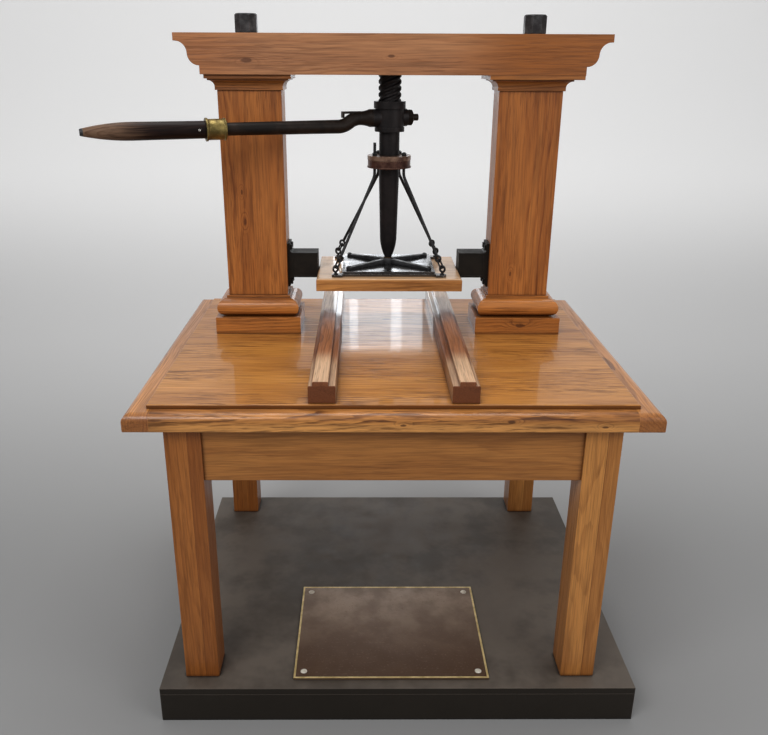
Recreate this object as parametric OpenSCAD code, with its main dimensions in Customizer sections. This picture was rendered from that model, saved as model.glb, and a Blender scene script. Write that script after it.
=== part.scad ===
// Screw printing press with a wooden frame on a table, standing on a display plinth.
// Millimetres, +Z up, +X to the right, +Y to the back. The origin is on the underside of the
// plinth, midway between the four legs. The screw's axis crosses X = 0 behind the origin.

/* [Plinth] */
// Height of the plinth
plinth_h = 100; // [60:5:200]
// Thickness of the plinth's boards
plinth_board = 18; // [12:1:25]
// Width of the bearer under the middle of the plinth
bearer_w = 60; // [40:5:120]
// Plinth beyond the legs on the left
plinth_left_margin = 59; // [30:1:200]
// Plinth beyond the legs on the right
plinth_right_margin = 97; // [30:1:200]
// Plinth beyond the legs at the front
plinth_front_margin = 45; // [30:1:200]
// Plinth beyond the legs at the back
plinth_back_margin = 13; // [5:1:200]

/* [Plaque] */
// Width of the plaque
plaque_w = 500; // [300:10:600]
// Depth of the plaque
plaque_d = 380; // [200:10:450]
// Thickness of the plaque
plaque_t = 5; // [3:0.5:10]
// Plinth left bare in front of the plaque
plaque_front_gap = 32; // [15:1:80]
// Middle of the plaque, to the right of the press's middle
plaque_x = 3; // [-20:1:20]
// Screws' distance from the plaque's edges
plaque_screw_inset = 25; // [15:1:40]
// Radius of a plaque screw's domed head
plaque_screw_head_r = 8.5; // [4:0.5:11]

/* [Table] */
// Working height of the table above the plinth
table_h = 754; // [650:1:850]
// Width of the table's slab
table_w = 1212; // [1150:1:1400]
// Depth of the table's slab
table_d = 944; // [850:1:1100]
// Thickness of the slab
slab_t = 42; // [35:1:60]
// Radius of the slab's top edge
slab_top_r = 18; // [8:1:25]
// Radius of the slab's bottom edge
slab_bottom_r = 3; // [1:0.5:6]
// Width of the boards across the slab's ends
end_board_w = 60; // [45:1:80]
// Length of the tongues that join slab and end boards
tongue_l = 25; // [15:1:30]
// Thickness of those tongues
tongue_t = 14; // [8:1:18]
// Thickness of the raised field on the slab
field_t = 10; // [6:1:20]
// Slab left bare at each side of the field
field_side_inset = 49; // [30:1:80]
// Slab left bare before and behind the field
field_front_inset = 37; // [30:1:70]
// Radius of the field's top edge
field_edge_r = 3; // [1:0.5:5]
// Side of a square leg
leg_w = 84; // [75:1:110]
// Distance of the legs in from the slab's ends
leg_side_inset = 84; // [60:1:110]
// Distance of the legs in from the slab's front and back
leg_front_inset = 26; // [20:1:60]
// Height of the aprons
apron_h = 138; // [100:1:180]
// Thickness of the aprons
apron_t = 25; // [20:1:32]
// Apron faces behind the legs' outer faces
apron_setback = 8; // [3:1:15]
// Length of the apron tenons
tenon_l = 30; // [20:1:34]
// Thickness of the apron tenons
tenon_t = 12; // [8:1:16]
// Apron left above and below its tenons
tenon_shoulder = 18; // [10:1:30]

/* [Rails] */
// Distance of each rail's middle from the press's middle
rail_x = 163; // [140:1:185]
// Width of a rail
rail_w = 62; // [55:1:80]
// Height of a rail without its rib
rail_h = 42; // [30:1:60]
// Width of the rib along a rail's top
rib_w = 36; // [25:1:40]
// Height of that rib
rib_h = 10; // [5:1:16]
// Ledge of a rail outside its rib
rail_outer_ledge = 10; // [5:1:15]
// Radius of the rails' edges
rail_edge_r = 2.5; // [1:0.5:4]
// Bare slab and field in front of the rails
rail_front_gap = 44; // [40:1:120]

/* [Posts] */
// Distance of each post's middle from the press's middle
post_x = 366; // [350:1:400]
// Distance of posts and screw behind the table's middle
screw_y = 153; // [100:1:200]
// Width of a post's shaft
post_w = 166; // [140:1:180]
// Depth of a post's shaft
post_d = 92; // [80:1:120]
// Height of the base blocks
base_block_h = 47; // [30:1:70]
// Overhang of the base blocks around the shaft
base_block_over = 36; // [32:1:44]
// Radius of the bullnose moulding on a base block
torus_r = 25; // [15:0.5:30]
// Overhang of the bullnose around the shaft
torus_over = 31; // [28:1:35]
// Height of the fillet on the bullnose
base_fillet_h = 7; // [4:1:12]
// Overhang of that fillet around the shaft
base_fillet_over = 6; // [3:1:15]
// Height of the capital's lowest band
neck_band_h = 8; // [4:1:15]
// Overhang of that band around the shaft
neck_band_over = 5; // [2:1:8]
// Radius of the capital's cove
cove_r = 16; // [10:1:20]
// Height of the band above the cove
bed_h = 4; // [2:1:8]
// Height of the capital's top board
abacus_h = 10; // [6:1:20]
// Overhang of the left capital's top board around the shaft
abacus_left_over = 28; // [24:1:36]
// Overhang of the right capital's top board around the shaft
abacus_right_over = 38; // [28:1:42]
// Distance of the right capital's top board outward from the shaft's middle
abacus_right_shift = 7; // [0:1:10]

/* [Beam] */
// Underside of the beam above the table
beam_clear = 690; // [640:1:750]
// Height of the beam
beam_h = 98; // [98:1:120]
// Overhang of the beam in front of the posts and behind them
beam_over = 36; // [28:1:40]
// Beam beyond the posts at each end, measured at the beam's underside
beam_end_over = 41; // [36:1:56]
// Distance of the beam's middle to the right of the screw's axis
beam_x = 5.5; // [0:0.5:8]
// Height of the plain band at the foot of the beam's end
beam_foot_h = 21; // [12:1:28]
// Radius of the cove and of the ovolo at the beam's ends
beam_curve_r = 29; // [20:1:32]
// Step between the cove and the top band
beam_step = 4; // [2:1:8]

/* [Tie rods] */
// Radius of the rods through beam, posts and table
tie_r = 9; // [7:0.5:12]
// Distance of the rods outward from the middles of the posts
tie_out = 6; // [0:1:12]
// Clearance around those rods in the wood
tie_clear = 1; // [0.5:0.1:2]
// Across-corner radius of the octagonal nuts
tie_nut_r = 30; // [24:1:34]
// Height of the nuts on the beam
tie_nut_h = 48; // [30:1:55]
// Height of the nuts under the table
tie_low_nut_h = 20; // [14:1:30]
// Chamfer of the nuts
tie_nut_chamfer = 4; // [2:0.5:6]
// Radius of the washers under the table
washer_r = 36; // [34:1:42]
// Thickness of those washers
washer_t = 4; // [3:0.5:8]

/* [Screw] */
// Rise of the screw in one turn
lead = 66; // [50:1:90]
// Number of threads that run side by side
starts = 4; // [3:1:5]
// Outer radius of the thread
thread_r = 30.5; // [28:0.5:34]
// Depth of the thread
thread_depth = 4; // [3:0.5:5]
// Clearance between screw and nut
thread_clear = 0.45; // [0.35:0.05:0.8]
// Length of thread that shows under the beam
thread_show = 66; // [58:1:88]
// Rise of the platen from its lowest place to its highest
travel = 24; // [15:1:26]
// Height of the nut in the beam
nut_h = 42; // [36:1:44]
// Radius of the round pocket above that nut
stop_pocket_r = 39; // [38:0.5:41]
// Space left over the stop disc when the platen is raised
stop_head_clear = 6; // [3:1:8]
// Across-corner radius of the octagonal nut in the beam
nut_r = 50; // [47:1:52]
// Radius of the plate that holds the nut
nut_plate_r = 64; // [62:1:75]
// Thickness of that plate
nut_plate_t = 8; // [6:1:12]
// Bore of that plate beyond the thread
nut_plate_clear = 1.5; // [1:0.5:3]
// Pitch circle radius of the plate's screws
nut_screw_circle_r = 55; // [54:1:56]
// Radius of a plate screw's head
nut_screw_head_r = 5; // [4:0.5:6]
// Length of a plate screw
nut_screw_l = 40; // [25:1:50]
// Radius of the disc that stops the screw on its nut
stop_r = 35; // [32:1:37]
// Thickness of that disc
stop_t = 7; // [5:0.5:8]
// Radius of the peg that the disc sits on
stop_peg_r = 15; // [10:1:20]

/* [Spindle] */
// Radius of the flange above the hub
top_flange_r = 42.5; // [41:0.5:50]
// Height of that flange
top_flange_h = 18; // [12:1:24]
// Radius of the hub
hub_r = 38; // [34:1:40]
// Height of the hub
hub_h = 48; // [46:1:60]
// Radius of the flange below the hub
low_flange_r = 40; // [39:0.5:46]
// Height of that flange
low_flange_h = 11; // [6:1:16]
// Radius of the hub's bosses around the bar
boss_r = 23; // [20:0.5:23]
// Length of the boss on the bar's side, from the axis
boss_bar_l = 52; // [46:1:60]
// Length of the boss on the nut's side, from the axis
boss_nut_l = 47; // [43:1:55]
// Radius of the shaft
shaft_r = 27.5; // [26:0.5:30]
// Radius of the shaft where its taper ends
taper_r = 23.5; // [22:0.5:25]
// Height over which the shaft tapers
taper_h = 160; // [120:1:165]
// Height of the pointed toe
toe_h = 59; // [45:1:70]
// Radius at the foot of the pointed toe
toe_tip_r = 10.5; // [10:0.5:14]
// Gap between the toe and its cup
toe_gap = 2.3; // [1:0.1:4]
// Radius of the journal under the toe
journal_r = 9; // [7:0.5:9.5]
// Running clearance around journal, shaft and garter
run_clear = 0.05; // [0.02:0.01:0.1]
// Clearance along the axis at stops and thrust faces
end_clear = 0.3; // [0.2:0.1:0.5]

/* [Collar] */
// Underside of the collar above the iron plates
collar_rise = 266; // [250:1:290]
// Radius of the collar
collar_r = 59; // [56:1:66]
// Height of the collar's split lower ring
garter_h = 19; // [16:1:26]
// Height of the collar's upper ring
collar_cap_h = 13; // [9:1:20]
// Height of the groove between the two rings
collar_groove = 2; // [1:0.5:3]
// Height of the lip at the collar's foot
collar_lip_h = 3; // [2:0.5:5]
// Radius of the screw's neck inside the garter
garter_neck_r = 22; // [20:0.5:24]
// Shaft left between the neck's ends and the ring's faces
garter_wall = 3; // [2:0.5:5]
// Saw cut between the halves of the lower ring
garter_split = 0.6; // [0.4:0.1:1]

/* [Hangers] */
// Radius of the hanger rods
rod_r = 4; // [3:0.5:5]
// Circle on which the rods pass through the collar
rod_circle_r = 43; // [42:0.5:46]
// Angle of the front rods on that circle, off the side
front_rod_angle = 23; // [15:1:35]
// Angle of the back rods on that circle, off the side
back_rod_angle = 48; // [40:1:55]
// Straight length of the rods below the collar
rod_drop = 22; // [18:1:40]
// Radius of the bend in the rods
rod_bend_r = 30; // [20:1:40]
// Rod left above its nut
rod_tail = 2; // [1:0.5:6]
// Extra length of the front left rod above its nut
long_rod_tail = 25; // [5:1:40]
// Across-corner radius of the rods' nuts
rod_nut_r = 7.5; // [7:0.5:9]
// Height of the rods' nuts
rod_nut_h = 7; // [5:0.5:9]
// Chamfer of the rods' nuts
rod_nut_chamfer = 1; // [0.5:0.1:1.5]
// Radius of the rings at rods and corners
ring_r = 8; // [7:0.5:10]
// Radius of the wire in those rings
ring_wire_r = 3; // [2.5:0.1:3.4]
// Distance between the rings that a link joins
link_pitch = 30; // [26:1:40]
// Radius of a link's round ends
link_r = 6; // [6:0.5:7]
// Radius of a link's wire
link_wire_r = 2.4; // [2:0.1:2.5]

/* [Platen] */
// Underside of the lowered platen above the table
platen_clear = 140; // [120:1:150]
// Width of the platen board
platen_w = 394.6; // [360:0.2:410]
// Depth of the platen board
platen_d = 278; // [250:1:300]
// Thickness of the platen board
platen_t = 34; // [28:1:45]
// Radius of the platen board's top edges
platen_top_r = 6; // [2:0.5:8]
// Width of the iron plates on the board
plate_w = 256; // [244:1:280]
// Depth of the iron plates on the board
plate_d = 222; // [214:1:240]
// Thickness of each iron plate
plate_t = 6.5; // [4:0.5:10]
// Step from the lower plate's edge to the upper plate's
plate_step = 3; // [1:0.5:6]
// Corner lugs beyond the lower plate
lug_reach = 17; // [15:1:22]
// Radius of the corner lugs
lug_r = 11; // [9:0.5:13]
// Radius of the corner eyes' shanks
eye_shank_r = 3.5; // [3:0.5:4]
// Depth of the shanks in the board
eye_shank_depth = 20; // [12:1:25]
// Radius of the collar under a corner eye
eye_foot_r = 6.5; // [5:0.5:8]
// Height of the collar under a corner eye
eye_foot_h = 2; // [1:0.5:3]
// Shank between a corner eye and its collar
eye_neck_l = 2; // [1:0.5:4]

/* [Spider] */
// Radius of the spider's hub
spider_hub_r = 17; // [16:0.5:22]
// Height of the spider's hub
spider_hub_h = 15; // [12:1:20]
// Reach of the arms to the sides
arm_x = 110; // [95:1:112]
// Reach of the arms to the front and back
arm_y = 84; // [70:1:90]
// Width of the arms
arm_w = 12; // [10:1:16]
// Height of the arms at the hub
arm_root_h = 13; // [10:1:14]
// Height of the arms at their pads
arm_tip_h = 7; // [5:1:9]
// Radius of the pads
pad_r = 7.5; // [7:0.5:11]
// Radius of a pad's screw
pad_screw_r = 3; // [2:0.5:4]
// Radius of a pad screw's head
pad_screw_head_r = 4.5; // [4:0.5:6]
// Height of a pad screw's head
pad_screw_head_h = 2.5; // [2:0.5:6]
// Length of a pad screw below its head
pad_screw_l = 36; // [28:1:45]
// Radius of the cup that carries the screw's toe
cup_r = 12.5; // [11.5:0.5:13]
// Height of that cup
cup_h = 15; // [12:1:17]
// Thickness of that cup's floor
cup_floor = 4; // [3:0.5:6]
// Iron left under the cup
cup_seat = 2; // [1:0.5:4]

/* [Guide brackets] */
// Gap between a bracket and the platen board
guide_gap = 0.7; // [0.4:0.1:2]
// Height of the bracket's block
guide_h = 70; // [60:1:90]
// Underside of the block above the lowered platen's underside
guide_rise = 11; // [5:1:16]
// Depth of the block
guide_d = 60; // [50:1:64]
// Thickness of the bracket's wall plate
guide_plate_t = 8; // [6:1:12]
// Depth of the bracket's wall plate
guide_plate_d = 66; // [64:1:78]
// Wall plate above and below the block
guide_plate_over = 27; // [24:1:35]
// Radius of the fillets between block and wall plate
guide_fillet_r = 8; // [4:1:10]
// Width of the rim around the block's face
guide_rim = 6; // [4:1:10]
// Depth of the recess inside that rim
guide_recess = 1.5; // [1:0.5:3]
// Side of a bracket bolt's square head
bolt_head_w = 13; // [11:1:14]
// Height of a bracket bolt's head
bolt_head_h = 5; // [4:0.5:8]
// Radius of a bracket bolt
bolt_r = 4; // [3:0.5:5]
// Length of a bracket bolt below its head
bolt_l = 50; // [30:1:60]
// Sideways distance between two bolts of a bracket
bolt_pitch = 34; // [20:1:40]

/* [Bar] */
// Direction of the bar, forward of the left
bar_angle = 20; // [15:1:35]
// Radius of the bar's tail in the hub
tail_r = 9.9; // [8:0.1:10.5]
// Radius of the tail's threaded end
tail_thread_r = 9; // [7:0.1:9.5]
// Length of the tail, from the axis
tail_l = 81; // [72:1:95]
// Across-corner radius of the bar's nut
bar_nut_r = 23; // [21:0.5:26]
// Thickness of the bar's nut
bar_nut_t = 15; // [12:1:20]
// Chamfer of the bar's nut
bar_nut_chamfer = 3; // [1:0.5:4]
// Radius of the bar's neck
neck_r = 17.5; // [15:0.5:19]
// Length of bar as thick as the boss, before the flare
flare_lip = 5; // [2:1:10]
// End of the neck's flare, from the axis
flare_end = 85; // [75:1:95]
// Drop of the bar below the hub's middle
bar_drop = 20; // [10:1:26]
// Length of the bend that makes the drop
bend_l = 60; // [50:1:80]
// Radius of the bar at the ferrule
bar_end_r = 15.85; // [14:0.05:17]
// Start of the ferrule, from the axis
ferrule_start = 442; // [400:1:500]
// Length of the ferrule
ferrule_l = 50; // [30:1:60]
// Radius of the ferrule
ferrule_r = 25.5; // [23:0.5:28]
// Height of the ferrule's rims
ferrule_rim = 3; // [1:0.5:4]
// Length of the ferrule's rims
ferrule_lip = 4; // [2:0.5:6]
// Radius of the bar's tang inside the grip
tang_r = 8; // [6:0.5:9]
// Length of that tang beyond the ferrule
tang_l = 225; // [150:1:230]
// Length of the grip
grip_l = 297; // [270:1:320]
// Radius of the grip at the ferrule
grip_start_r = 21.3; // [19:0.1:22]
// Largest radius of the grip
grip_r = 22; // [20:0.5:24]
// Length from the ferrule to the grip's thickest place
grip_peak_l = 175; // [140:1:180]
// Radius of the grip at its end
grip_end_r = 8; // [6:0.5:12]
// Length of the cap on the grip
grip_cap_l = 8; // [5:1:15]
// Width of the catch on the bar's neck
catch_w = 12; // [8:1:16]
// Thickness of the catch
catch_t = 6; // [4:0.5:7]
// Height of the catch's underside over the hub's middle
catch_rise = 12; // [10:1:14]
// End of the catch, from the axis
catch_end = 135; // [120:1:150]
// Length of the catch's turned-down nose
catch_nose = 10; // [6:1:11]

/* [Hidden] */
$fn = 72;
// Cutters run this far past the faces that they open, and rods this far into a bend
past = 1;
// Bends are this much thicker than the rods that run into them
bend_swell = 0.1;
// Points around each start of the thread, turn between its layers, steepness of its flanks
thread_points = 8;
thread_slice = 15;
thread_flank = 0.9;

// Plan of legs and plinth
leg_x = table_w / 2 - leg_side_inset;
leg_y = table_d / 2 - leg_front_inset;
plinth_x0 = -leg_x - plinth_left_margin;
plinth_x1 = leg_x + plinth_right_margin;
plinth_y0 = -leg_y - plinth_front_margin;
plinth_y1 = leg_y + plinth_back_margin;
plinth_wall_h = plinth_h - plinth_board;
plaque_y = plinth_y0 + plaque_front_gap + plaque_d / 2;

// Heights of the table
table_z = plinth_h + table_h;
slab_top = table_z - field_t;
slab_z = slab_top - slab_t;
slab_half_l = table_w / 2 - end_board_w;
apron_z = slab_z - apron_h;
field_w = table_w - 2 * field_side_inset;
field_d = table_d - 2 * field_front_inset;

// Heights of posts and beam
base_fillet_z = table_z + base_block_h + 2 * torus_r;
post_z = base_fillet_z + base_fillet_h;
beam_z = table_z + beam_clear;
beam_top = beam_z + beam_h;
bed_over = neck_band_over + cove_r;
capital_h = neck_band_h + cove_r + bed_h + abacus_h;
capital_z = beam_z - capital_h;
beam_d = post_d + 2 * beam_over;
beam_foot_x = post_x + post_w / 2 + beam_end_over;
abacus_most = max(abacus_left_over, abacus_right_over) + abacus_right_shift;

// Platen, plates and the screw's foot
platen_z = table_z + platen_clear;
platen_top = platen_z + platen_t;
lower_plate_top = platen_top + plate_t;
plates_top = lower_plate_top + plate_t;
cup_z = plates_top + cup_seat;
cup_top = cup_z + cup_h;
journal_z = cup_z + cup_floor + end_clear;
toe_z = cup_top + toe_gap;
taper_z = toe_z + toe_h;
eye_x = plate_w / 2 + lug_reach;
eye_y = plate_d / 2;
eye_z = lower_plate_top + eye_foot_h + eye_neck_l + ring_r + ring_wire_r;

// Collar and garter
collar_z = plates_top + collar_rise;
rod_knee_z = collar_z - rod_drop;
garter_top = collar_z + garter_h;
collar_top = garter_top + collar_cap_h;

// Head of the screw and its nut
nut_z = beam_z + nut_plate_t;
flange_top = beam_z - thread_show;
hub_top = flange_top - top_flange_h;
hub_bottom = hub_top - hub_h;
hub_z = hub_top - hub_h / 2;
nut_top = nut_z + nut_h;
stop_z = nut_top + end_clear;
pocket_top = stop_z + stop_t + travel + stop_head_clear;
low_flange_z = hub_bottom - low_flange_h;

// Distance from a bracket's block to the middles of its bolts, whose heads clear the fillets
bolt_rise = guide_fillet_r + bolt_head_w / 2;

// Bar, along its own axis
bar_z = hub_z - bar_drop;
bar_start = flare_end + bend_l;
ferrule_end = ferrule_start + ferrule_l;
cap_start = ferrule_end + grip_l - grip_cap_l;
grip_end = ferrule_end + grip_l;
grip_tail_l = grip_l - grip_peak_l;
grip_fall = grip_r - grip_end_r;
grip_curve_r = (grip_tail_l * grip_tail_l + grip_fall * grip_fall) / (2 * grip_fall);

// Colours
honey = [0.78, 0.5, 0.24];
amber = [0.7, 0.42, 0.19];
walnut = [0.17, 0.1, 0.07];
charcoal = [0.2, 0.19, 0.18];
iron = [0.09, 0.09, 0.1];
steel = [0.42, 0.42, 0.44];
bronze = [0.33, 0.24, 0.18];
brass = [0.6, 0.5, 0.22];

// Outline of a board seen on its end, with round edges above and below
module rounded_section(w, t, top_r, bottom_r) {
    difference() {
        translate([-w / 2, 0]) square([w, t]);
        for (side = [-1, 1]) scale([side, 1]) {
            translate([w / 2 - top_r, t - top_r]) corner_cut(top_r);
            translate([w / 2 - bottom_r, bottom_r]) scale([1, -1]) corner_cut(bottom_r);
        }
    }
}

// What rounding a convex corner takes away, with the arc's centre at the origin
module corner_cut(r) {
    difference() {
        square(r + past);
        circle(r);
    }
}

// A moulded block: one outline across X and one across Y meet in mitres
module mitred(size_x, size_y) {
    intersection() {
        rotate([90, 0, 0]) linear_extrude(size_y, center = true) children(0);
        rotate([90, 0, 90]) linear_extrude(size_x, center = true) children(1);
    }
}

// A board or rod centred on X = Y = 0, standing on z
module block(w, d, h, z) {
    translate([-w / 2, -d / 2, z]) cube([w, d, h]);
}

module drum(r, h, z) {
    translate([0, 0, z]) cylinder(r = r, h = h);
}

// Places its children on the axis of the left or right post
module on_post(side) {
    translate([side * post_x, screw_y, 0]) children();
}

// Places its children on the screw's axis
module on_axis() {
    translate([0, screw_y, 0]) children();
}

// Places its children on a tie rod's axis, from the middle of its post
module on_tie(side) {
    translate([side * tie_out, 0, 0]) children();
}

module tie_bore(side, z0, z1) {
    on_tie(side) drum(tie_r + tie_clear, z1 - z0 + 2 * past, z0 - past);
}

module plinth_top() {
    color(charcoal) difference() {
        translate([plinth_x0, plinth_y0, plinth_wall_h])
            cube([plinth_x1 - plinth_x0, plinth_y1 - plinth_y0, plinth_board]);
        plaque_screw_shanks(plinth_wall_h - past);
    }
}

module plinth_wall(y) {
    color(charcoal) translate([plinth_x0, y, 0])
        cube([plinth_x1 - plinth_x0, plinth_board, plinth_wall_h]);
}

module plinth_end(x) {
    color(charcoal) translate([x, plinth_y0 + plinth_board, 0])
        cube([plinth_board, plinth_y1 - plinth_y0 - 2 * plinth_board, plinth_wall_h]);
}

module plinth_bearer() {
    color(charcoal) translate([-bearer_w / 2, plinth_y0 + plinth_board, 0])
        cube([bearer_w, plinth_y1 - plinth_y0 - 2 * plinth_board, plinth_wall_h]);
}

// Places its children at the plaque's four screws
module at_plaque_screws() {
    for (side = [-1, 1], end = [-1, 1])
        translate([plaque_x + side * (plaque_w / 2 - plaque_screw_inset),
                   plaque_y + end * (plaque_d / 2 - plaque_screw_inset), 0])
            children();
}

module plaque_screw_shanks(z) {
    at_plaque_screws() drum(plaque_screw_head_r / 3, plinth_h + plaque_t - z, z);
}

module plaque() {
    color(bronze) difference() {
        translate([plaque_x, plaque_y, 0]) block(plaque_w, plaque_d, plaque_t, plinth_h);
        at_plaque_screws() drum(plaque_screw_head_r / 3, plaque_t + 2 * past, plinth_h - past);
    }
}

module plaque_screws() {
    dome_r = plaque_screw_head_r;
    color(steel) {
        plaque_screw_shanks(plinth_wall_h);
        at_plaque_screws() translate([0, 0, plinth_h + plaque_t]) rotate_extrude()
            intersection() {
                translate([0, -dome_r]) circle(dome_r * sqrt(2));
                square([dome_r, dome_r]);
            }
    }
}

// A leg; side and end are -1 at the left and the front
module leg(side, end) {
    color(amber) difference() {
        translate([side * (leg_x - leg_w / 2), end * (leg_y - leg_w / 2), 0])
            block(leg_w, leg_w, slab_z - plinth_h, plinth_h);
        long_tenons(end);
        side_tenons(side);
    }
}

module long_tenons(end) {
    y = end * (leg_y - apron_setback - apron_t / 2);
    tenon_span = 2 * (leg_x - leg_w + tenon_l);
    translate([0, y, 0]) block(tenon_span, tenon_t, apron_h - 2 * tenon_shoulder, apron_z + tenon_shoulder);
}

module side_tenons(side) {
    x = side * (leg_x - apron_setback - apron_t / 2);
    tenon_span = 2 * (leg_y - leg_w + tenon_l);
    translate([x, 0, 0]) block(tenon_t, tenon_span, apron_h - 2 * tenon_shoulder, apron_z + tenon_shoulder);
}

module long_apron(end) {
    color(honey) {
        translate([0, end * (leg_y - apron_setback - apron_t / 2), 0])
            block(2 * (leg_x - leg_w), apron_t, apron_h, apron_z);
        long_tenons(end);
    }
}

module side_apron(side) {
    color(honey) {
        translate([side * (leg_x - apron_setback - apron_t / 2), 0, 0])
            block(apron_t, 2 * (leg_y - leg_w), apron_h, apron_z);
        side_tenons(side);
    }
}

// The whole table top with its moulded edge, before it is divided into boards
module table_top() {
    translate([0, 0, slab_z]) mitred(table_w + 2 * past, table_d + 2 * past) {
        rounded_section(table_w, slab_t, slab_top_r, slab_bottom_r);
        rounded_section(table_d, slab_t, slab_top_r, slab_bottom_r);
    }
}

// Tongues stop short of the moulded edges, so that they don't show
module tongues() {
    block(2 * (slab_half_l + tongue_l), field_d, tongue_t, slab_z + (slab_t - tongue_t) / 2);
}

module table_slab() {
    color(honey) difference() {
        union() {
            intersection() {
                table_top();
                block(2 * slab_half_l, table_d + 2 * past, slab_t + 2 * past, slab_z - past);
            }
            tongues();
        }
        for (side = [-1, 1]) on_post(side) tie_bore(side, slab_z, slab_top);
    }
}

module table_end(side) {
    color(honey) difference() {
        intersection() {
            table_top();
            translate([side * (slab_half_l + end_board_w / 2 + past), 0, 0])
                block(end_board_w + 2 * past, table_d + 2 * past, slab_t + 2 * past, slab_z - past);
        }
        tongues();
    }
}

module table_field() {
    color(honey) difference() {
        translate([0, 0, slab_top]) mitred(field_w + 2 * past, field_d + 2 * past) {
            rounded_section(field_w, field_t, field_edge_r, field_edge_r / 3);
            rounded_section(field_d, field_t, field_edge_r, field_edge_r / 3);
        }
        for (side = [-1, 1]) on_post(side) tie_bore(side, slab_top, table_z);
    }
}

// A rail with its rib nearer to the outer edge
module rail(side) {
    front = -table_d / 2 + rail_front_gap;
    back = field_d / 2;
    rib_x = rail_x + rail_w / 2 - rail_outer_ledge - rib_w / 2;
    color(honey) scale([side, 1, 1]) translate([0, back, table_z]) rotate([90, 0, 0])
        linear_extrude(back - front) {
            translate([rail_x, 0]) rounded_section(rail_w, rail_h, rail_edge_r, rail_edge_r / 3);
            translate([rib_x, rail_h - rib_h]) rounded_section(rib_w, 2 * rib_h, rail_edge_r, rail_edge_r / 3);
        }
}

module base_block(side) {
    color(amber) on_post(side) difference() {
        block(post_w + 2 * base_block_over, post_d + 2 * base_block_over, base_block_h, table_z);
        tie_bore(side, table_z, table_z + base_block_h);
    }
}

// Outline of a bullnose with the fillet on it, for a shaft of width w
module base_outline(w) {
    flat = w / 2 + torus_over - torus_r;
    for (side = [-1, 1]) translate([side * flat, torus_r]) circle(torus_r);
    translate([-flat, 0]) square([2 * flat, 2 * torus_r]);
    translate([-w / 2 - base_fillet_over, torus_r])
        square([w + 2 * base_fillet_over, torus_r + base_fillet_h]);
}

module base_torus(side) {
    color(amber) on_post(side) difference() {
        translate([0, 0, table_z + base_block_h])
            mitred(post_w + 2 * (torus_over + past), post_d + 2 * (torus_over + past)) {
                base_outline(post_w);
                base_outline(post_d);
            }
        tie_bore(side, table_z + base_block_h, post_z);
    }
}

module post(side) {
    color(amber) on_post(side) difference() {
        block(post_w, post_d, capital_z - post_z, post_z);
        tie_bore(side, post_z, capital_z);
        translate([-side * post_x, 0, 0]) scale([side, 1, 1]) bolt_shanks();
    }
}

// Outline of the capital for a shaft of width w: band, cove, bed and a top board that overhangs
// by over and lies shift off the middle
module capital_outline(w, over, shift) {
    bed_z = neck_band_h + cove_r;
    translate([-w / 2 - neck_band_over, 0]) square([w + 2 * neck_band_over, neck_band_h]);
    difference() {
        translate([-w / 2 - bed_over, neck_band_h]) square([w + 2 * bed_over, cove_r + bed_h]);
        for (side = [-1, 1]) translate([side * (w / 2 + bed_over), neck_band_h]) circle(cove_r);
    }
    translate([shift - w / 2 - over, bed_z + bed_h]) square([w + 2 * over, abacus_h]);
}

module capital(side) {
    over = side < 0 ? abacus_left_over : abacus_right_over;
    shift = side < 0 ? 0 : abacus_right_shift;
    color(amber) on_post(side) difference() {
        translate([0, 0, capital_z])
            mitred(post_w + 2 * (abacus_most + past), post_d + 2 * (abacus_most + past)) {
                capital_outline(post_w, over, shift);
                capital_outline(post_d, over, 0);
            }
        tie_bore(side, capital_z, beam_z);
    }
}

// Front outline of the beam: foot, ovolo, cove, step and top band at each end
module beam_outline() {
    r = beam_curve_r;
    ovolo_z = beam_foot_h + r;
    cove_x = beam_foot_x + 2 * r;
    band_z = ovolo_z + r;
    translate([-beam_foot_x, 0]) square([2 * beam_foot_x, beam_h]);
    for (side = [-1, 1]) scale([side, 1]) {
        intersection() {
            translate([beam_foot_x, ovolo_z]) circle(r);
            translate([beam_foot_x, beam_foot_h]) square(r);
        }
        difference() {
            translate([beam_foot_x, ovolo_z]) square([2 * r, r]);
            translate([cove_x, ovolo_z]) circle(r);
        }
        translate([beam_foot_x, band_z]) square([2 * r + beam_step, beam_h - band_z]);
    }
}

module cap_beam() {
    color(amber) difference() {
        translate([beam_x, screw_y + beam_d / 2, beam_z]) rotate([90, 0, 0]) linear_extrude(beam_d)
            beam_outline();
        for (side = [-1, 1]) on_post(side) tie_bore(side, beam_z, beam_top);
        on_axis() {
            drum(nut_plate_r, nut_plate_t + past, beam_z - past);
            nut_prism(nut_r, nut_h + past, nut_z - past);
            drum(stop_pocket_r, pocket_top - nut_z, nut_z);
            nut_screws();
        }
    }
}

module tie_rods() {
    low = slab_z - washer_t - tie_low_nut_h - tie_r / 2;
    high = beam_top + tie_nut_h - tie_nut_chamfer / 2;
    color(iron) for (side = [-1, 1]) on_post(side) on_tie(side) drum(tie_r, high - low, low);
}

// A chamfered octagonal nut on a rod of radius bore
module chamfered_nut(r, h, z, chamfer, bore, sides) {
    translate([0, 0, z]) difference() {
        intersection() {
            rotate([0, 0, 180 / sides]) cylinder(r = r, h = h, $fn = sides);
            rotate_extrude() polygon([
                [0, 0], [r - chamfer, 0], [r + past, chamfer + past], [r + past, h - chamfer - past],
                [r - chamfer, h], [0, h]
            ]);
        }
        drum(bore + run_clear, h + 2 * past, -past);
    }
}

module tie_nuts() {
    color(iron) for (side = [-1, 1]) on_post(side) on_tie(side) {
        chamfered_nut(tie_nut_r, tie_nut_h, beam_top, tie_nut_chamfer, tie_r, 8);
        chamfered_nut(tie_nut_r, tie_low_nut_h, slab_z - washer_t - tie_low_nut_h,
                      tie_nut_chamfer, tie_r, 8);
    }
}

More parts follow.
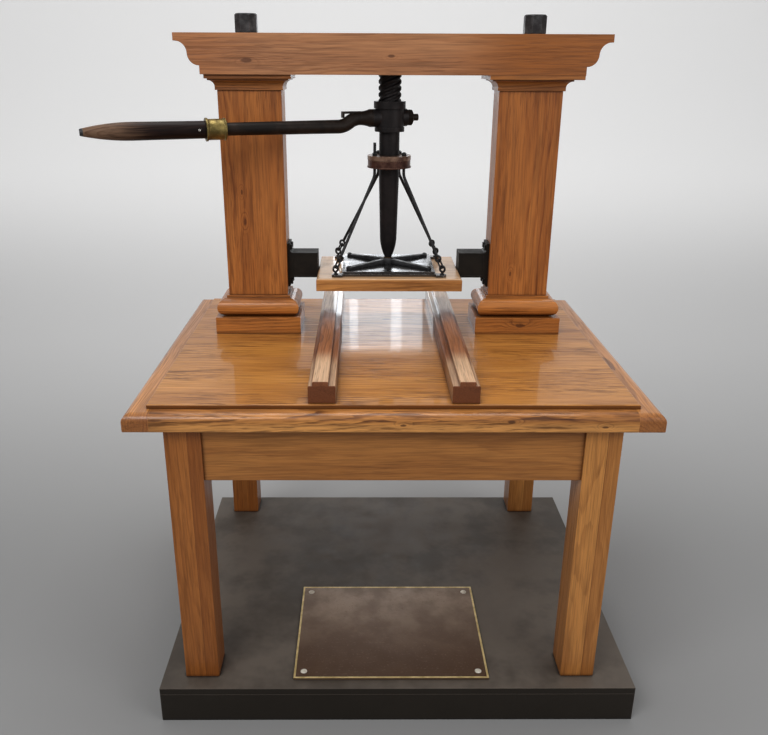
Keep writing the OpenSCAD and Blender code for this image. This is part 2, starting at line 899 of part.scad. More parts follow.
module tie_washers() {
    color(iron) for (side = [-1, 1]) on_post(side) on_tie(side) difference() {
        drum(washer_r, washer_t, slab_z - washer_t);
        drum(tie_r + run_clear, washer_t + 2 * past, slab_z - washer_t - past);
    }
}

// Radius of the thread's section at angle a; clear widens it for the nut
function thread_at(a, clear) =
    thread_r - thread_depth + clear
    + thread_depth * min(1, max(0, 1 / 2 + thread_flank * cos(starts * a)));

// The screw's threaded core between two heights; its phase depends on the height alone
module thread(z0, z1, clear) {
    step = 360 / (thread_points * starts);
    turn = 360 * (z1 - z0) / lead;
    translate([0, 0, z0]) rotate([0, 0, 360 * (z0 - beam_z) / lead])
        linear_extrude(z1 - z0, twist = -turn, slices = ceil(turn / thread_slice))
            polygon([for (a = [0 : step : 360 - step]) thread_at(a, clear) * [cos(a), sin(a)]]);
}

module nut_prism(r, h, z) {
    translate([0, 0, z]) rotate([0, 0, 22.5]) cylinder(r = r, h = h, $fn = 8);
}

module screw_nut() {
    color(bronze) on_axis() difference() {
        nut_prism(nut_r, nut_h, nut_z);
        thread(nut_z - past, nut_top + past, thread_clear);
    }
}

module at_nut_screws() {
    for (a = [0 : 90 : 270]) rotate([0, 0, a + 45]) translate([nut_screw_circle_r, 0, 0]) children();
}

// Countersunk screws of the nut plate, heads down
module nut_screws() {
    head_r = nut_screw_head_r;
    at_nut_screws() {
        translate([0, 0, beam_z]) cylinder(r1 = head_r, r2 = head_r / 2, h = head_r / 2);
        drum(head_r / 2, nut_screw_l, beam_z);
    }
}

module nut_plate() {
    color(bronze) on_axis() difference() {
        drum(nut_plate_r, nut_plate_t, beam_z);
        drum(thread_r + nut_plate_clear, nut_plate_t + 2 * past, beam_z - past);
        nut_screws();
    }
}

module nut_plate_screws() {
    color(iron) on_axis() nut_screws();
}

// Bracket bolts of the right-hand side: above and below the block
module at_bolts() {
    below = platen_z + guide_rise - bolt_rise;
    above = platen_z + guide_rise + guide_h + bolt_rise;
    for (y = [-bolt_pitch / 2, bolt_pitch / 2], z = [below, above])
        translate([post_x - post_w / 2 - guide_plate_t, y, z]) rotate([0, 90, 0]) children();
}

module bolt_shanks() {
    at_bolts() cylinder(r = bolt_r, h = bolt_l);
}

// Outline of the right-hand bracket, seen from the front; fillets run from block to wall plate
module bracket_outline() {
    wall_x = post_x - post_w / 2;
    plate_x = wall_x - guide_plate_t;
    low = platen_z + guide_rise;
    high = low + guide_h;
    tip_x = platen_w / 2 + guide_gap;
    foot_z = low - guide_plate_over;
    fillet_x = plate_x - guide_fillet_r;
    difference() {
        polygon([
            [wall_x, foot_z], [wall_x - guide_plate_t / 2, foot_z],
            [plate_x, low - bolt_rise - bolt_head_w / 2], [plate_x, low - guide_fillet_r],
            [fillet_x, low], [tip_x, low], [tip_x, high], [fillet_x, high],
            [plate_x, high + guide_fillet_r], [plate_x, high + guide_plate_over],
            [wall_x, high + guide_plate_over]
        ]);
        for (z = [low - guide_fillet_r, high + guide_fillet_r])
            translate([fillet_x, z]) circle(guide_fillet_r);
    }
}

module guide_bracket(side) {
    tip_x = platen_w / 2 + guide_gap;
    wall_x = post_x - post_w / 2;
    recess_w = wall_x - guide_plate_t - guide_fillet_r - tip_x - guide_rim;
    color(iron) on_axis() scale([side, 1, 1]) difference() {
        rotate([90, 0, 0]) linear_extrude(guide_d, center = true) bracket_outline();
        translate([tip_x + guide_rim, -guide_d / 2 - past, platen_z + guide_rise + guide_rim])
            cube([recess_w, guide_recess + past, guide_h - 2 * guide_rim]);
        bolt_shanks();
    }
}

module bracket_bolts() {
    color(iron) on_axis() for (side = [-1, 1]) scale([side, 1, 1]) {
        bolt_shanks();
        at_bolts() block(bolt_head_w, bolt_head_w, bolt_head_h, -bolt_head_h);
    }
}

// Hanger rods on the collar: side is -1 at the left, end is -1 at the front
function rod_angle(end) = end < 0 ? -front_rod_angle : back_rod_angle;
function rod_x(side, end) = side * rod_circle_r * cos(rod_angle(end));
function rod_y(end) = rod_circle_r * sin(rod_angle(end));

module collar_rod_holes() {
    for (side = [-1, 1], end = [-1, 1])
        translate([rod_x(side, end), rod_y(end), 0])
            drum(rod_r + run_clear, garter_h + collar_cap_h + 2 * past, collar_z - past);
}

module collar_cap() {
    color(bronze) on_axis() difference() {
        union() {
            drum(collar_r, collar_cap_h - collar_groove, garter_top + collar_groove);
            drum(collar_r - collar_groove, collar_cap_h, garter_top);
        }
        drum(shaft_r + run_clear, collar_cap_h + 2 * past, garter_top - past);
        collar_rod_holes();
    }
}

// Lower ring, sawn in two so that it closes round the screw's neck
module collar_halves() {
    color(bronze) on_axis() difference() {
        union() {
            drum(collar_r - collar_groove / 2, garter_h, collar_z);
            drum(collar_r + collar_groove / 2, collar_lip_h, collar_z);
        }
        drum(garter_neck_r + run_clear, garter_h + 2 * past, collar_z - past);
        drum(shaft_r + run_clear, garter_wall + end_clear + past, collar_z - past);
        drum(shaft_r + run_clear, garter_wall + end_clear + past, garter_top - garter_wall - end_clear);
        collar_rod_holes();
        block(2 * collar_r + 4 * past, garter_split, garter_h + 2 * past, collar_z - past);
    }
}

// A ring of round wire in the XZ plane
module ring(r, wire_r) {
    rotate([90, 0, 0]) rotate_extrude() translate([r, 0]) circle(wire_r);
}

// Plan distance and direction from a rod's hole to its corner eye, and the rod's slope off the vertical
function rod_run(side, end) = [side * eye_x - rod_x(side, end), end * eye_y - rod_y(end)];
function rod_slope(side, end) = atan2(norm(rod_run(side, end)), rod_knee_z - eye_z);

// Places its children in a frame whose origin is the corner eye and whose Z runs up along the rod
module along_rod(side, end) {
    run = rod_run(side, end);
    translate([side * eye_x, end * eye_y, eye_z])
        rotate([0, 0, atan2(run[1], run[0])]) rotate([0, -rod_slope(side, end), 0]) children();
}

module hanger_rod(side, end, tail) {
    run = rod_run(side, end);
    slope = rod_slope(side, end);
    tangent = rod_bend_r * tan(slope / 2);
    slope_l = norm([norm(run), rod_knee_z - eye_z]);
    top = collar_top + rod_nut_h + tail;
    translate([rod_x(side, end), rod_y(end), 0]) {
        drum(rod_r, top - rod_knee_z - tangent + past, rod_knee_z + tangent - past);
        rotate([0, 0, atan2(run[1], run[0])]) translate([rod_bend_r, 0, rod_knee_z + tangent])
            rotate([90, 0, 0]) rotate([0, 0, 180]) rotate_extrude(angle = slope)
                translate([rod_bend_r, 0]) circle(rod_r + bend_swell);
    }
    along_rod(side, end) {
        drum(rod_r, slope_l - tangent - link_pitch - ring_r + past, link_pitch + ring_r);
        translate([0, 0, link_pitch]) ring(ring_r, ring_wire_r);
    }
}

module hanger_rods_front() {
    color(iron) on_axis() {
        hanger_rod(-1, -1, rod_tail + long_rod_tail);
        hanger_rod(1, -1, rod_tail);
    }
}

module hanger_rods_back() {
    color(iron) on_axis() for (side = [-1, 1]) hanger_rod(side, 1, rod_tail);
}

module rod_nuts() {
    color(iron) on_axis() for (side = [-1, 1], end = [-1, 1])
        translate([rod_x(side, end), rod_y(end), 0])
            chamfered_nut(rod_nut_r, rod_nut_h, collar_top, rod_nut_chamfer, rod_r, 6);
}

// Links between the rods' rings and the corner eyes, across the rings' plane
module corner_links() {
    inner = ring_r - ring_wire_r - link_wire_r - end_clear + link_r;
    color(iron) on_axis() for (side = [-1, 1], end = [-1, 1]) along_rod(side, end) rotate([0, 0, 90]) {
        for (x = [-link_r, link_r])
            translate([x, 0, 0]) drum(link_wire_r, link_pitch - 2 * inner, inner);
        translate([0, 0, link_pitch - inner]) rotate([90, 0, 0]) rotate_extrude(angle = 180)
            translate([link_r, 0]) circle(link_wire_r);
        translate([0, 0, inner]) rotate([-90, 0, 0]) rotate_extrude(angle = 180)
            translate([link_r, 0]) circle(link_wire_r);
    }
}

module eye_shanks(z) {
    for (side = [-1, 1], end = [-1, 1])
        translate([side * eye_x, end * eye_y, 0]) drum(eye_shank_r, eye_z - ring_r - z, z);
}

module corner_eyes() {
    foot_h = eye_foot_h;
    color(iron) on_axis() {
        eye_shanks(platen_top - eye_shank_depth);
        for (side = [-1, 1], end = [-1, 1]) {
            run = rod_run(side, end);
            translate([side * eye_x, end * eye_y, 0]) {
                drum(eye_foot_r, foot_h, lower_plate_top);
                translate([0, 0, eye_z]) rotate([0, 0, atan2(run[1], run[0])]) ring(ring_r, ring_wire_r);
            }
        }
    }
}

module platen_board() {
    color(amber) on_axis() difference() {
        translate([0, 0, platen_z]) mitred(platen_w + 2 * past, platen_d + 2 * past) {
            rounded_section(platen_w, platen_t, platen_top_r, platen_top_r / 4);
            rounded_section(platen_d, platen_t, platen_top_r, platen_top_r / 4);
        }
        eye_shanks(platen_top - eye_shank_depth);
        pad_screws();
    }
}

// Lower iron plate with a lug at each corner
module platen_plate() {
    color(steel) on_axis() difference() {
        union() {
            block(plate_w, plate_d, plate_t, platen_top);
            for (side = [-1, 1], end = [-1, 1]) translate([side * eye_x, end * eye_y, 0]) {
                drum(lug_r, plate_t, platen_top);
                translate([-side * lug_reach / 2, 0, 0]) block(lug_reach, 2 * lug_r, plate_t, platen_top);
            }
        }
        eye_shanks(platen_top - past);
        pad_screws();
    }
}

module bearing_plate() {
    color(steel) on_axis() difference() {
        block(plate_w - 2 * plate_step, plate_d - 2 * plate_step, plate_t, lower_plate_top);
        pad_screws();
    }
}

module at_pads() {
    for (side = [-1, 1], end = [-1, 1]) translate([side * arm_x, end * arm_y, plates_top]) children();
}

module pad_screws() {
    at_pads() drum(pad_screw_r, pad_screw_l, arm_tip_h - pad_screw_l);
}

module spider_screws() {
    color(iron) on_axis() {
        pad_screws();
        at_pads() drum(pad_screw_head_r, pad_screw_head_h, arm_tip_h);
    }
}

// Cross of tapering arms that spreads the screw's thrust over the plates
module spider() {
    arm_l = norm([arm_x, arm_y]);
    color(iron) on_axis() difference() {
        union() {
            drum(spider_hub_r, spider_hub_h, plates_top);
            at_pads() drum(pad_r, arm_tip_h, 0);
            for (side = [-1, 1], end = [-1, 1]) rotate([0, 0, atan2(end * arm_y, side * arm_x)])
                translate([0, 0, plates_top]) rotate([90, 0, 0]) linear_extrude(arm_w, center = true)
                    polygon([
                        [0, 0], [arm_l, 0], [arm_l, arm_tip_h], [arm_l - pad_r, arm_tip_h],
                        [spider_hub_r, arm_root_h], [0, arm_root_h]
                    ]);
        }
        drum(cup_r, spider_hub_h + past, cup_z);
        pad_screws();
    }
}

module toe_cup() {
    color(bronze) on_axis() difference() {
        drum(cup_r, cup_h, cup_z);
        drum(journal_r + run_clear, cup_h, cup_z + cup_floor);
    }
}

// Half outline of the screw from its journal to the flange under the thread
module spindle_outline() {
    toe_fall = taper_r - toe_tip_r;
    toe_curve_r = (toe_h * toe_h + toe_fall * toe_fall) / (2 * toe_fall);
    neck_z = collar_z + garter_wall;
    neck_top = garter_top - garter_wall;
    translate([0, journal_z]) square([journal_r, toe_z - journal_z]);
    intersection() {
        translate([taper_r - toe_curve_r, taper_z]) circle(toe_curve_r, $fn = 360);
        translate([0, toe_z]) square([taper_r, toe_h]);
    }
    polygon([
        [0, taper_z], [taper_r, taper_z], [shaft_r, taper_z + taper_h], [shaft_r, neck_z],
        [garter_neck_r, neck_z], [garter_neck_r, neck_top], [shaft_r, neck_top],
        [shaft_r, low_flange_z], [low_flange_r, low_flange_z], [low_flange_r, hub_bottom],
        [hub_r, hub_bottom], [hub_r, hub_top], [top_flange_r, hub_top], [top_flange_r, flange_top],
        [0, flange_top]
    ]);
}

// Places its children at the hub with X along the bar, away from the axis
module along_bar(z) {
    on_axis() translate([0, 0, z]) rotate([0, 0, 180 + bar_angle]) children();
}

// A rod along the bar's direction
module bar_rod(r, x0, x1) {
    translate([x0, 0, 0]) rotate([0, 90, 0]) cylinder(r = r, h = x1 - x0);
}

module spindle() {
    color(iron) difference() {
        union() {
            on_axis() {
                rotate_extrude() spindle_outline();
                thread(flange_top - past, stop_z, 0);
                drum(stop_peg_r, stop_t + past, stop_z - past);
            }
            along_bar(hub_z) bar_rod(boss_r, -boss_nut_l, boss_bar_l);
        }
        along_bar(hub_z) bar_rod(tail_r + run_clear, -boss_nut_l - past, boss_bar_l + past);
    }
}

module stop_disc() {
    color(iron) on_axis() difference() {
        drum(stop_r, stop_t, stop_z);
        drum(stop_peg_r, stop_t + 2 * past, stop_z - past);
    }
}

// One half of the bend that lowers the bar; turn is 1 for the first half and -1 for the second
module bend_half(turn) {
    half_angle = 2 * atan2(bar_drop, bend_l);
    bend_r = bend_l / (2 * sin(half_angle));
    start = turn > 0 ? 90 - half_angle : 270 - half_angle;
    translate([turn > 0 ? flare_end : bar_start, 0, turn > 0 ? -bend_r : bend_r - bar_drop])
        rotate([90, 0, 0]) rotate([0, 0, start]) rotate_extrude(angle = half_angle)
            translate([bend_r, 0]) circle(neck_r + bend_swell);
}

module bar() {
    flare_start = boss_bar_l + flare_lip;
    flare_l = flare_end - flare_start;
    color(iron) {
        along_bar(hub_z) {
            bar_rod(tail_thread_r, -tail_l, -boss_nut_l);
            bar_rod(tail_r, -boss_nut_l, boss_bar_l);
            rotate([0, 90, 0]) rotate_extrude() polygon([
                [0, boss_bar_l], [boss_r, boss_bar_l],
                for (i = [0 : 6]) let (s = i / 6)
                    [neck_r + (boss_r - neck_r) * pow(1 - s, 2), flare_start + flare_l * s],
                [neck_r, flare_end + past], [0, flare_end + past]
            ]);
            bend_half(1);
            bend_half(-1);
            translate([flare_end + bend_l / 2, 0, -bar_drop / 2]) rotate([0, 2 * atan2(bar_drop, bend_l), 0])
                bar_rod(neck_r + 2 * bend_swell, -past, past);
            translate([flare_end - catch_w, -catch_w / 2, catch_rise])
                cube([catch_end - flare_end + catch_w, catch_w, catch_t]);
            translate([catch_end - catch_t, -catch_w / 2, catch_rise - catch_nose])
                cube([catch_t, catch_w, catch_nose]);
        }
        along_bar(bar_z) {
            translate([bar_start - past, 0, 0]) rotate([0, 90, 0])
                cylinder(r1 = neck_r, r2 = bar_end_r, h = ferrule_start - bar_start + past);
            bar_rod(bar_end_r, ferrule_start, ferrule_end);
            bar_rod(tang_r, ferrule_end, ferrule_end + tang_l);
        }
    }
}

module bar_nut() {
    color(iron) along_bar(hub_z) rotate([0, -90, 0])
        chamfered_nut(bar_nut_r, bar_nut_t, boss_nut_l, bar_nut_chamfer, tail_thread_r, 6);
}

module ferrule() {
    r = ferrule_r;
    rim = ferrule_rim;
    lip = ferrule_lip;
    color(brass) along_bar(bar_z) rotate([0, 90, 0]) rotate_extrude() polygon([
        [bar_end_r + run_clear, ferrule_start], [r + rim / 2, ferrule_start],
        [r + rim / 2, ferrule_start + lip], [r, ferrule_start + lip + rim / 2],
        [r, ferrule_end - lip - rim], [r + rim, ferrule_end - lip], [r + rim, ferrule_end],
        [bar_end_r + run_clear, ferrule_end]
    ]);
}

// Half outline of the grip with its cap, from the ferrule to the end
module grip_outline() {
    peak = ferrule_end + grip_peak_l;
    polygon([
        [0, ferrule_end], [grip_start_r, ferrule_end], [grip_r, peak], [0, peak]
    ]);
    intersection() {
        translate([grip_r - grip_curve_r, peak]) circle(grip_curve_r, $fn = 360);
        translate([0, peak]) square([grip_r, grip_tail_l]);
    }
}

module grip() {
    color(walnut) along_bar(bar_z) difference() {
        rotate([0, 90, 0]) rotate_extrude() intersection() {
            grip_outline();
            translate([0, ferrule_end - past]) square([2 * grip_r, cap_start - ferrule_end + past]);
        }
        bar_rod(tang_r + run_clear, ferrule_end - past, ferrule_end + tang_l + past);
    }
}

module grip_cap() {
    color(iron) along_bar(bar_z) rotate([0, 90, 0]) rotate_extrude() intersection() {
        grip_outline();
        translate([0, cap_start]) square([2 * grip_r, grip_cap_l]);
    }
}

plinth_top();
plinth_wall(plinth_y0);  // plinth_front
plinth_wall(plinth_y1 - plinth_board);  // plinth_back
plinth_end(plinth_x0);  // plinth_left
plinth_end(plinth_x1 - plinth_board);  // plinth_right
plinth_bearer();
plaque();
plaque_screws();
leg(-1, -1);  // leg_front_left
leg(1, -1);  // leg_front_right
leg(-1, 1);  // leg_back_left
leg(1, 1);  // leg_back_right
long_apron(-1);  // apron_front
long_apron(1);  // apron_back
side_apron(-1);  // apron_left
side_apron(1);  // apron_right
table_slab();
table_end(-1);  // table_end_left
table_end(1);  // table_end_right
table_field();
rail(-1);  // rail_left
rail(1);  // rail_right
base_block(-1);  // base_block_left
base_block(1);  // base_block_right
base_torus(-1);  // base_torus_left
base_torus(1);  // base_torus_right
post(-1);  // post_left
post(1);  // post_right
capital(-1);  // capital_left
capital(1);  // capital_right
cap_beam();
tie_rods();
tie_nuts();
tie_washers();
screw_nut();
nut_plate();
nut_plate_screws();
guide_bracket(-1);  // guide_bracket_left
guide_bracket(1);  // guide_bracket_right
bracket_bolts();
collar_cap();
collar_halves();
hanger_rods_front();
hanger_rods_back();
rod_nuts();
corner_links();
corner_eyes();
platen_board();
platen_plate();
bearing_plate();
spider();
spider_screws();
toe_cup();
spindle();
stop_disc();
bar();
bar_nut();
ferrule();
grip();
grip_cap();
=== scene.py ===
import math

import bmesh
import bpy
from mathutils import Matrix, Vector


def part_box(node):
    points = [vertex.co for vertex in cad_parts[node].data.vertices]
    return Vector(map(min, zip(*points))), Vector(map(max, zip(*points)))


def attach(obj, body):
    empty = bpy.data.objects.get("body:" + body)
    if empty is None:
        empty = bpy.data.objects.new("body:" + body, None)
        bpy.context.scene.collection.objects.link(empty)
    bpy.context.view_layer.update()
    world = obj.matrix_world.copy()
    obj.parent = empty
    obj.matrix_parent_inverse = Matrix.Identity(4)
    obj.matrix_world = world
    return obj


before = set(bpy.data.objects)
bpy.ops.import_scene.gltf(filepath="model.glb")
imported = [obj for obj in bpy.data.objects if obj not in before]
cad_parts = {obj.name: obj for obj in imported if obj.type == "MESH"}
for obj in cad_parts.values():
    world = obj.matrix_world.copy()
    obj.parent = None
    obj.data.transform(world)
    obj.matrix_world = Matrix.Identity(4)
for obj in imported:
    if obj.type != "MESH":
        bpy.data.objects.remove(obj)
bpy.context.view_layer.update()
scene = bpy.context.scene
scene.view_settings.view_transform = "Standard"


# The viewpoint: a standing visitor's eye, two metres in front of the middle of the press and a
# little to the left of it, looking down on the table.
lens_mm = 37.3988
lens_shift = 0.0178256
eye = Vector((-0.0683435, -2.0812431, 1.5694605))
ahead = Vector((0.00818, 0.93474, -0.35524)).normalized()
right = Vector((0.99997, -0.00719, 0.00412))
right = (right - ahead * right.dot(ahead)).normalized()
above = right.cross(ahead)

camera_data = bpy.data.cameras.new("eye")
camera_data.sensor_width = 36
camera_data.lens = lens_mm
camera_data.shift_x = lens_shift
camera = bpy.data.objects.new("eye", camera_data)
camera.matrix_world = Matrix.Translation(eye) @ Matrix((right, above, -ahead)).transposed().to_4x4()
scene.collection.objects.link(camera)
scene.camera = camera


# The studio: a pale floor that curves up into a pale wall behind the press. It is one sheet of
# painted board, with no texture of its own. Its colour is painted darker towards the front as
# painted shade, and its wall glows more towards the top, for camera and mirror rays only, as
# painted light.
def tone(red, green, blue):
    """A colour given as it looks on a screen, each part from 0 to 255."""
    parts = [part / 255 for part in (red, green, blue)]
    return (*(p / 12.92 if p <= 0.04045 else ((p + 0.055) / 1.055) ** 2.4 for p in parts), 1.0)


def node(tree, kind, values=(), **settings):
    """Adds a shader node. Each value is a number, a colour or the socket that feeds it."""
    made = tree.nodes.new("ShaderNode" + kind)
    for name, setting in settings.items():
        setattr(made, name, setting)
    for key, value in values.items() if isinstance(values, dict) else enumerate(values):
        if isinstance(value, bpy.types.NodeSocket):
            tree.links.new(value, made.inputs[key])
        else:
            made.inputs[key].default_value = value
    return made


def math_node(tree, operation, *values):
    return node(tree, "Math", values, operation=operation).outputs[0]


def spread(tree, value, low, high, out_low=0.0, out_high=1.0):
    """Spreads the values from low to high smoothly over out_low to out_high."""
    values = [value, low, high, out_low, out_high]
    return node(tree, "MapRange", values, interpolation_type="SMOOTHSTEP").outputs[0]


def tint(tree, share, first, second):
    """Mixes a share of the second colour into the first."""
    return node(tree, "Mix", {0: share, 6: first, 7: second}, data_type="RGBA").outputs[2]


def object_place(tree):
    return node(tree, "TexCoord").outputs["Object"]


def new_finish(name, **plain):
    """An empty material with its shader, whose plain values are the same all over."""
    finish = bpy.data.materials.new(name)
    finish.use_nodes = True
    shader = finish.node_tree.nodes["Principled BSDF"]
    for key, value in plain.items():
        shader.inputs[key.replace("_", " ").title().replace("Ior", "IOR")].default_value = value
    return finish, finish.node_tree, shader


smooth_below = math.radians(40)


def put_mesh(name, mesh, finish):
    """Turns a finished bmesh into an object at the origin with one material."""
    data = bpy.data.meshes.new(name)
    mesh.to_mesh(data)
    mesh.free()
    data.materials.append(finish)
    for face in data.polygons:
        face.use_smooth = True
    data.set_sharp_from_angle(angle=smooth_below)
    made = bpy.data.objects.new(name, data)
    scene.collection.objects.link(made)
    return made


floor_half_w = 7
floor_front, wall_y = -5.0, 3.6
curve_r, curve_steps = 1.6, 15
wall_top = 6.0
shade_from, shade_to = -0.2, 2.8
near_grey, far_grey = tone(150, 150, 150), tone(231, 231, 231)
glow_from, glow_to, glow = 0.05, 0.95, 0.265

sweep = bmesh.new()
profile = [(floor_front, 0.0), (wall_y - curve_r, 0.0)]
for step in range(1, curve_steps):
    turned = math.radians(90 * step / curve_steps)
    profile.append((wall_y - curve_r * (1 - math.sin(turned)), curve_r * (1 - math.cos(turned))))
profile += [(wall_y, curve_r), (wall_y, wall_top)]
line = [sweep.verts.new((-floor_half_w, y, z)) for y, z in profile]
edges = [sweep.edges.new(pair) for pair in zip(line, line[1:])]
moved = bmesh.ops.extrude_edge_only(sweep, edges=edges)["geom"]
moved = [part for part in moved if isinstance(part, bmesh.types.BMVert)]
bmesh.ops.translate(sweep, verts=moved, vec=(2 * floor_half_w, 0, 0))
bmesh.ops.recalc_face_normals(sweep, faces=sweep.faces)

board, tree, shader = new_finish("pale board", roughness=0.9, specular_ior_level=0.2)
shader.inputs["Emission Color"].default_value = (1, 1, 1, 1)
place = node(tree, "SeparateXYZ", [object_place(tree)]).outputs
away = spread(tree, place["Y"], shade_from, shade_to)
# Painted shade: the board goes from a darker grey in front to a paler grey at the wall.
tree.links.new(tint(tree, away, near_grey, far_grey), shader.inputs["Base Color"])
seen = node(tree, "LightPath").outputs
direct = math_node(tree, "MAXIMUM", seen["Is Camera Ray"], seen["Is Glossy Ray"])
direct = math_node(tree, "MAXIMUM", direct, seen["Is Transmission Ray"])
# Painted light: a glow that rises up the wall, seen only by camera, mirror and transmission rays.
pale = spread(tree, place["Z"], glow_from, glow_to, 0.0, glow)
tree.links.new(math_node(tree, "MULTIPLY", pale, direct), shader.inputs["Emission Strength"])
studio = put_mesh("studio_floor", sweep, board)


# The light: one large soft lamp from the front left, a weaker one from the right and one over the
# table. Behind the press are a pane and two upright strips that only shiny surfaces mirror.
daylight_blue = (0.88, 0.94, 1.0)
press_middle = (0, 0.1, 0.9)
pane_h, pane_z = 0.33, 1.62


def lamp(name, place, target, width, height, watts, mirrored_only=False):
    """A flat lamp turned to its target; one that is mirrored only has the blue of daylight."""
    data = bpy.data.lights.new(name, "AREA")
    data.color = daylight_blue if mirrored_only else (1, 1, 1)
    data.shape = "RECTANGLE"
    data.size, data.size_y = width, height
    data.energy = watts
    made = bpy.data.objects.new(name, data)
    made.location = place
    made.rotation_euler = (Vector(target) - Vector(place)).to_track_quat("-Z", "Y").to_euler()
    made.visible_camera = False
    made.visible_diffuse = not mirrored_only
    scene.collection.objects.link(made)


lamp("key", (-1.7, -2.6, 3.5), press_middle, 2.2, 1.8, 66)
lamp("fill", (2.6, -2.2, 2.3), press_middle, 2.0, 2.0, 30)
lamp("top", (0.0, 0.5, 4.0), press_middle, 2.6, 2.0, 55)
lamp("pane", (0.02, 2.6, pane_z), (0.0, 0.25, 0.85), 0.54, pane_h, 2.2, True)
lamp("strip_left", (-0.13, 2.59, pane_z), (-0.06, 0.25, 0.85), 0.05, pane_h, 0.18, True)
lamp("strip_right", (0.13, 2.59, pane_z), (0.06, 0.25, 0.85), 0.065, pane_h, 0.23, True)

world = bpy.data.worlds.new("room light")
world.use_nodes = True
scene.world = world
tree = world.node_tree
tree.nodes["Background"].inputs["Color"].default_value = (1, 1, 1, 1)
tree.nodes["Background"].inputs["Strength"].default_value = 0.3


# The plinth: a low box of boards, painted in a satin charcoal that years of dust and cloths have
# left mottled on top. Its upward faces are painted paler and its sides darker, partly as dust and
# partly as painted light, and its hollows are painted darker as painted shade. The press stands
# on it without any fixing.
def new_group(name, inputs, outputs):
    """A shader node group; inputs and outputs are (label, kind, value) and (label, kind)."""
    tree = bpy.data.node_groups.new(name, "ShaderNodeTree")
    for label, kind, value in inputs:
        socket = tree.interface.new_socket(label, in_out="INPUT", socket_type="NodeSocket" + kind)
        socket.default_value = value
    for label, kind in outputs:
        tree.interface.new_socket(label, in_out="OUTPUT", socket_type="NodeSocket" + kind)
    return tree, tree.nodes.new("NodeGroupInput").outputs, tree.nodes.new("NodeGroupOutput").inputs


def noise(tree, place, stretch, detail=2.0, rough=0.5, output=0):
    """Cloudy noise; stretch is how many clouds lie along each metre of X, Y and Z."""
    place = node(tree, "VectorMath", [place, stretch], operation="MULTIPLY").outputs[0]
    return node(
        tree, "TexNoise", {"Vector": place, "Scale": 1.0, "Detail": detail, "Roughness": rough}
    ).outputs[output]


# Edges that hands and cloths have rounded, and hollows, which the wood and the plinth paint darken
# as painted shade and the metals darken as tarnish
wear, given, result = new_group(
    "edge wear",
    [("Radius", "Float", 0.0015)],
    [("Edge", "Float"), ("Hollow", "Float"), ("Normal", "Vector")],
)
rounded = node(wear, "Bevel", {"Radius": given["Radius"]}, samples=6).outputs[0]
flat_normal = node(wear, "NewGeometry").outputs["Normal"]
same = node(wear, "VectorMath", [rounded, flat_normal], operation="DOT_PRODUCT").outputs["Value"]
wear.links.new(spread(wear, same, 0.99, 0.90), result["Edge"])
open_sky = node(wear, "AmbientOcclusion", {"Distance": 0.014}, samples=8).outputs["AO"]
wear.links.new(spread(wear, open_sky, 0.88, 0.45), result["Hollow"])
wear.links.new(rounded, result["Normal"])


def worn(tree, radius):
    return node(tree, "Group", {"Radius": radius}, node_tree=wear).outputs


def bump(tree, shader, height, normal, depth):
    """Raises the surface by depth metres where height is 1."""
    values = {"Strength": 1.0, "Distance": depth, "Height": height, "Normal": normal}
    tree.links.new(node(tree, "Bump", values).outputs[0], shader.inputs["Normal"])


def dress(nodes, finish):
    for name in nodes:
        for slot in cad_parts[name].material_slots:
            slot.material = finish


charcoal, hollow_shade_charcoal = tone(31, 25, 18), tone(24, 21, 19)
dust_and_lit_charcoal, bare_charcoal = tone(104, 95, 86), tone(118, 106, 94)

finish, tree, shader = new_finish("satin charcoal paint", specular_ior_level=0.3)
place = object_place(tree)
edge = worn(tree, 0.002)
cloud = noise(tree, place, (4.5, 4.5, 4.5), 4, 0.65)
wiped = noise(tree, place, (14, 14, 14), 3, 0.6)
grit = noise(tree, place, (420, 420, 420), 1)
facing = node(tree, "SeparateXYZ", [node(tree, "NewGeometry").outputs["Normal"]]).outputs["Z"]
settled = spread(tree, cloud, 0.36, 0.62, 0.55, 1.05)
dust_and_top_light = math_node(tree, "MULTIPLY", settled, spread(tree, wiped, 0.3, 0.7, 0.85, 1.05))
# Painted light as well as dust: upward faces take the pale colour, the sides almost none.
dust_and_top_light = math_node(tree, "MULTIPLY", dust_and_top_light, spread(tree, facing, 0.1, 0.9, 0.04, 1.0))
colour = tint(tree, dust_and_top_light, charcoal, dust_and_lit_charcoal)
colour = tint(tree, math_node(tree, "MULTIPLY", edge["Edge"], 0.5), colour, bare_charcoal)
# Painted shade: hollows, and the top next to the legs' feet, are darkened.
tree.links.new(tint(tree, edge["Hollow"], colour, hollow_shade_charcoal), shader.inputs["Base Color"])
tree.links.new(spread(tree, wiped, 0.3, 0.75, 0.45, 0.6), shader.inputs["Roughness"])
bump(tree, shader, grit, edge["Normal"], 0.0002)
dress([f"plinth_{part}" for part in ("top", "front", "back", "left", "right", "bearer")], finish)


# The plaque: a bronze plate on the plinth, browned by the founder, with a bright line milled
# round its edge, and painted darker towards its front edge as painted shade. Four domed steel
# screws hold it. Its face is bare.
line_inset, line_w, line_proud = 0.0012, 0.005, 0.0003

rubbed, given, result = new_group(
    "rubbed metal",
    [("Vector", "Vector", (0, 0, 0)), ("Size", "Float", 1.0)],
    [("Cloud", "Float"), ("Scratch", "Float"), ("Pit", "Float")],
)
sized = {0: given["Vector"], "Scale": given["Size"]}
at = node(rubbed, "VectorMath", sized, operation="SCALE").outputs[0]
cloud = noise(rubbed, at, (22, 22, 22), 4, 0.6)
rubbed.links.new(spread(rubbed, cloud, 0.35, 0.68), result["Cloud"])
long_scratch = noise(rubbed, at, (30, 900, 900), 2)
rubbed.links.new(spread(rubbed, long_scratch, 0.55, 0.8), result["Scratch"])
rubbed.links.new(spread(rubbed, noise(rubbed, at, (300, 300, 300), 2), 0.58, 0.75), result["Pit"])


metal_edge_r = 0.0008


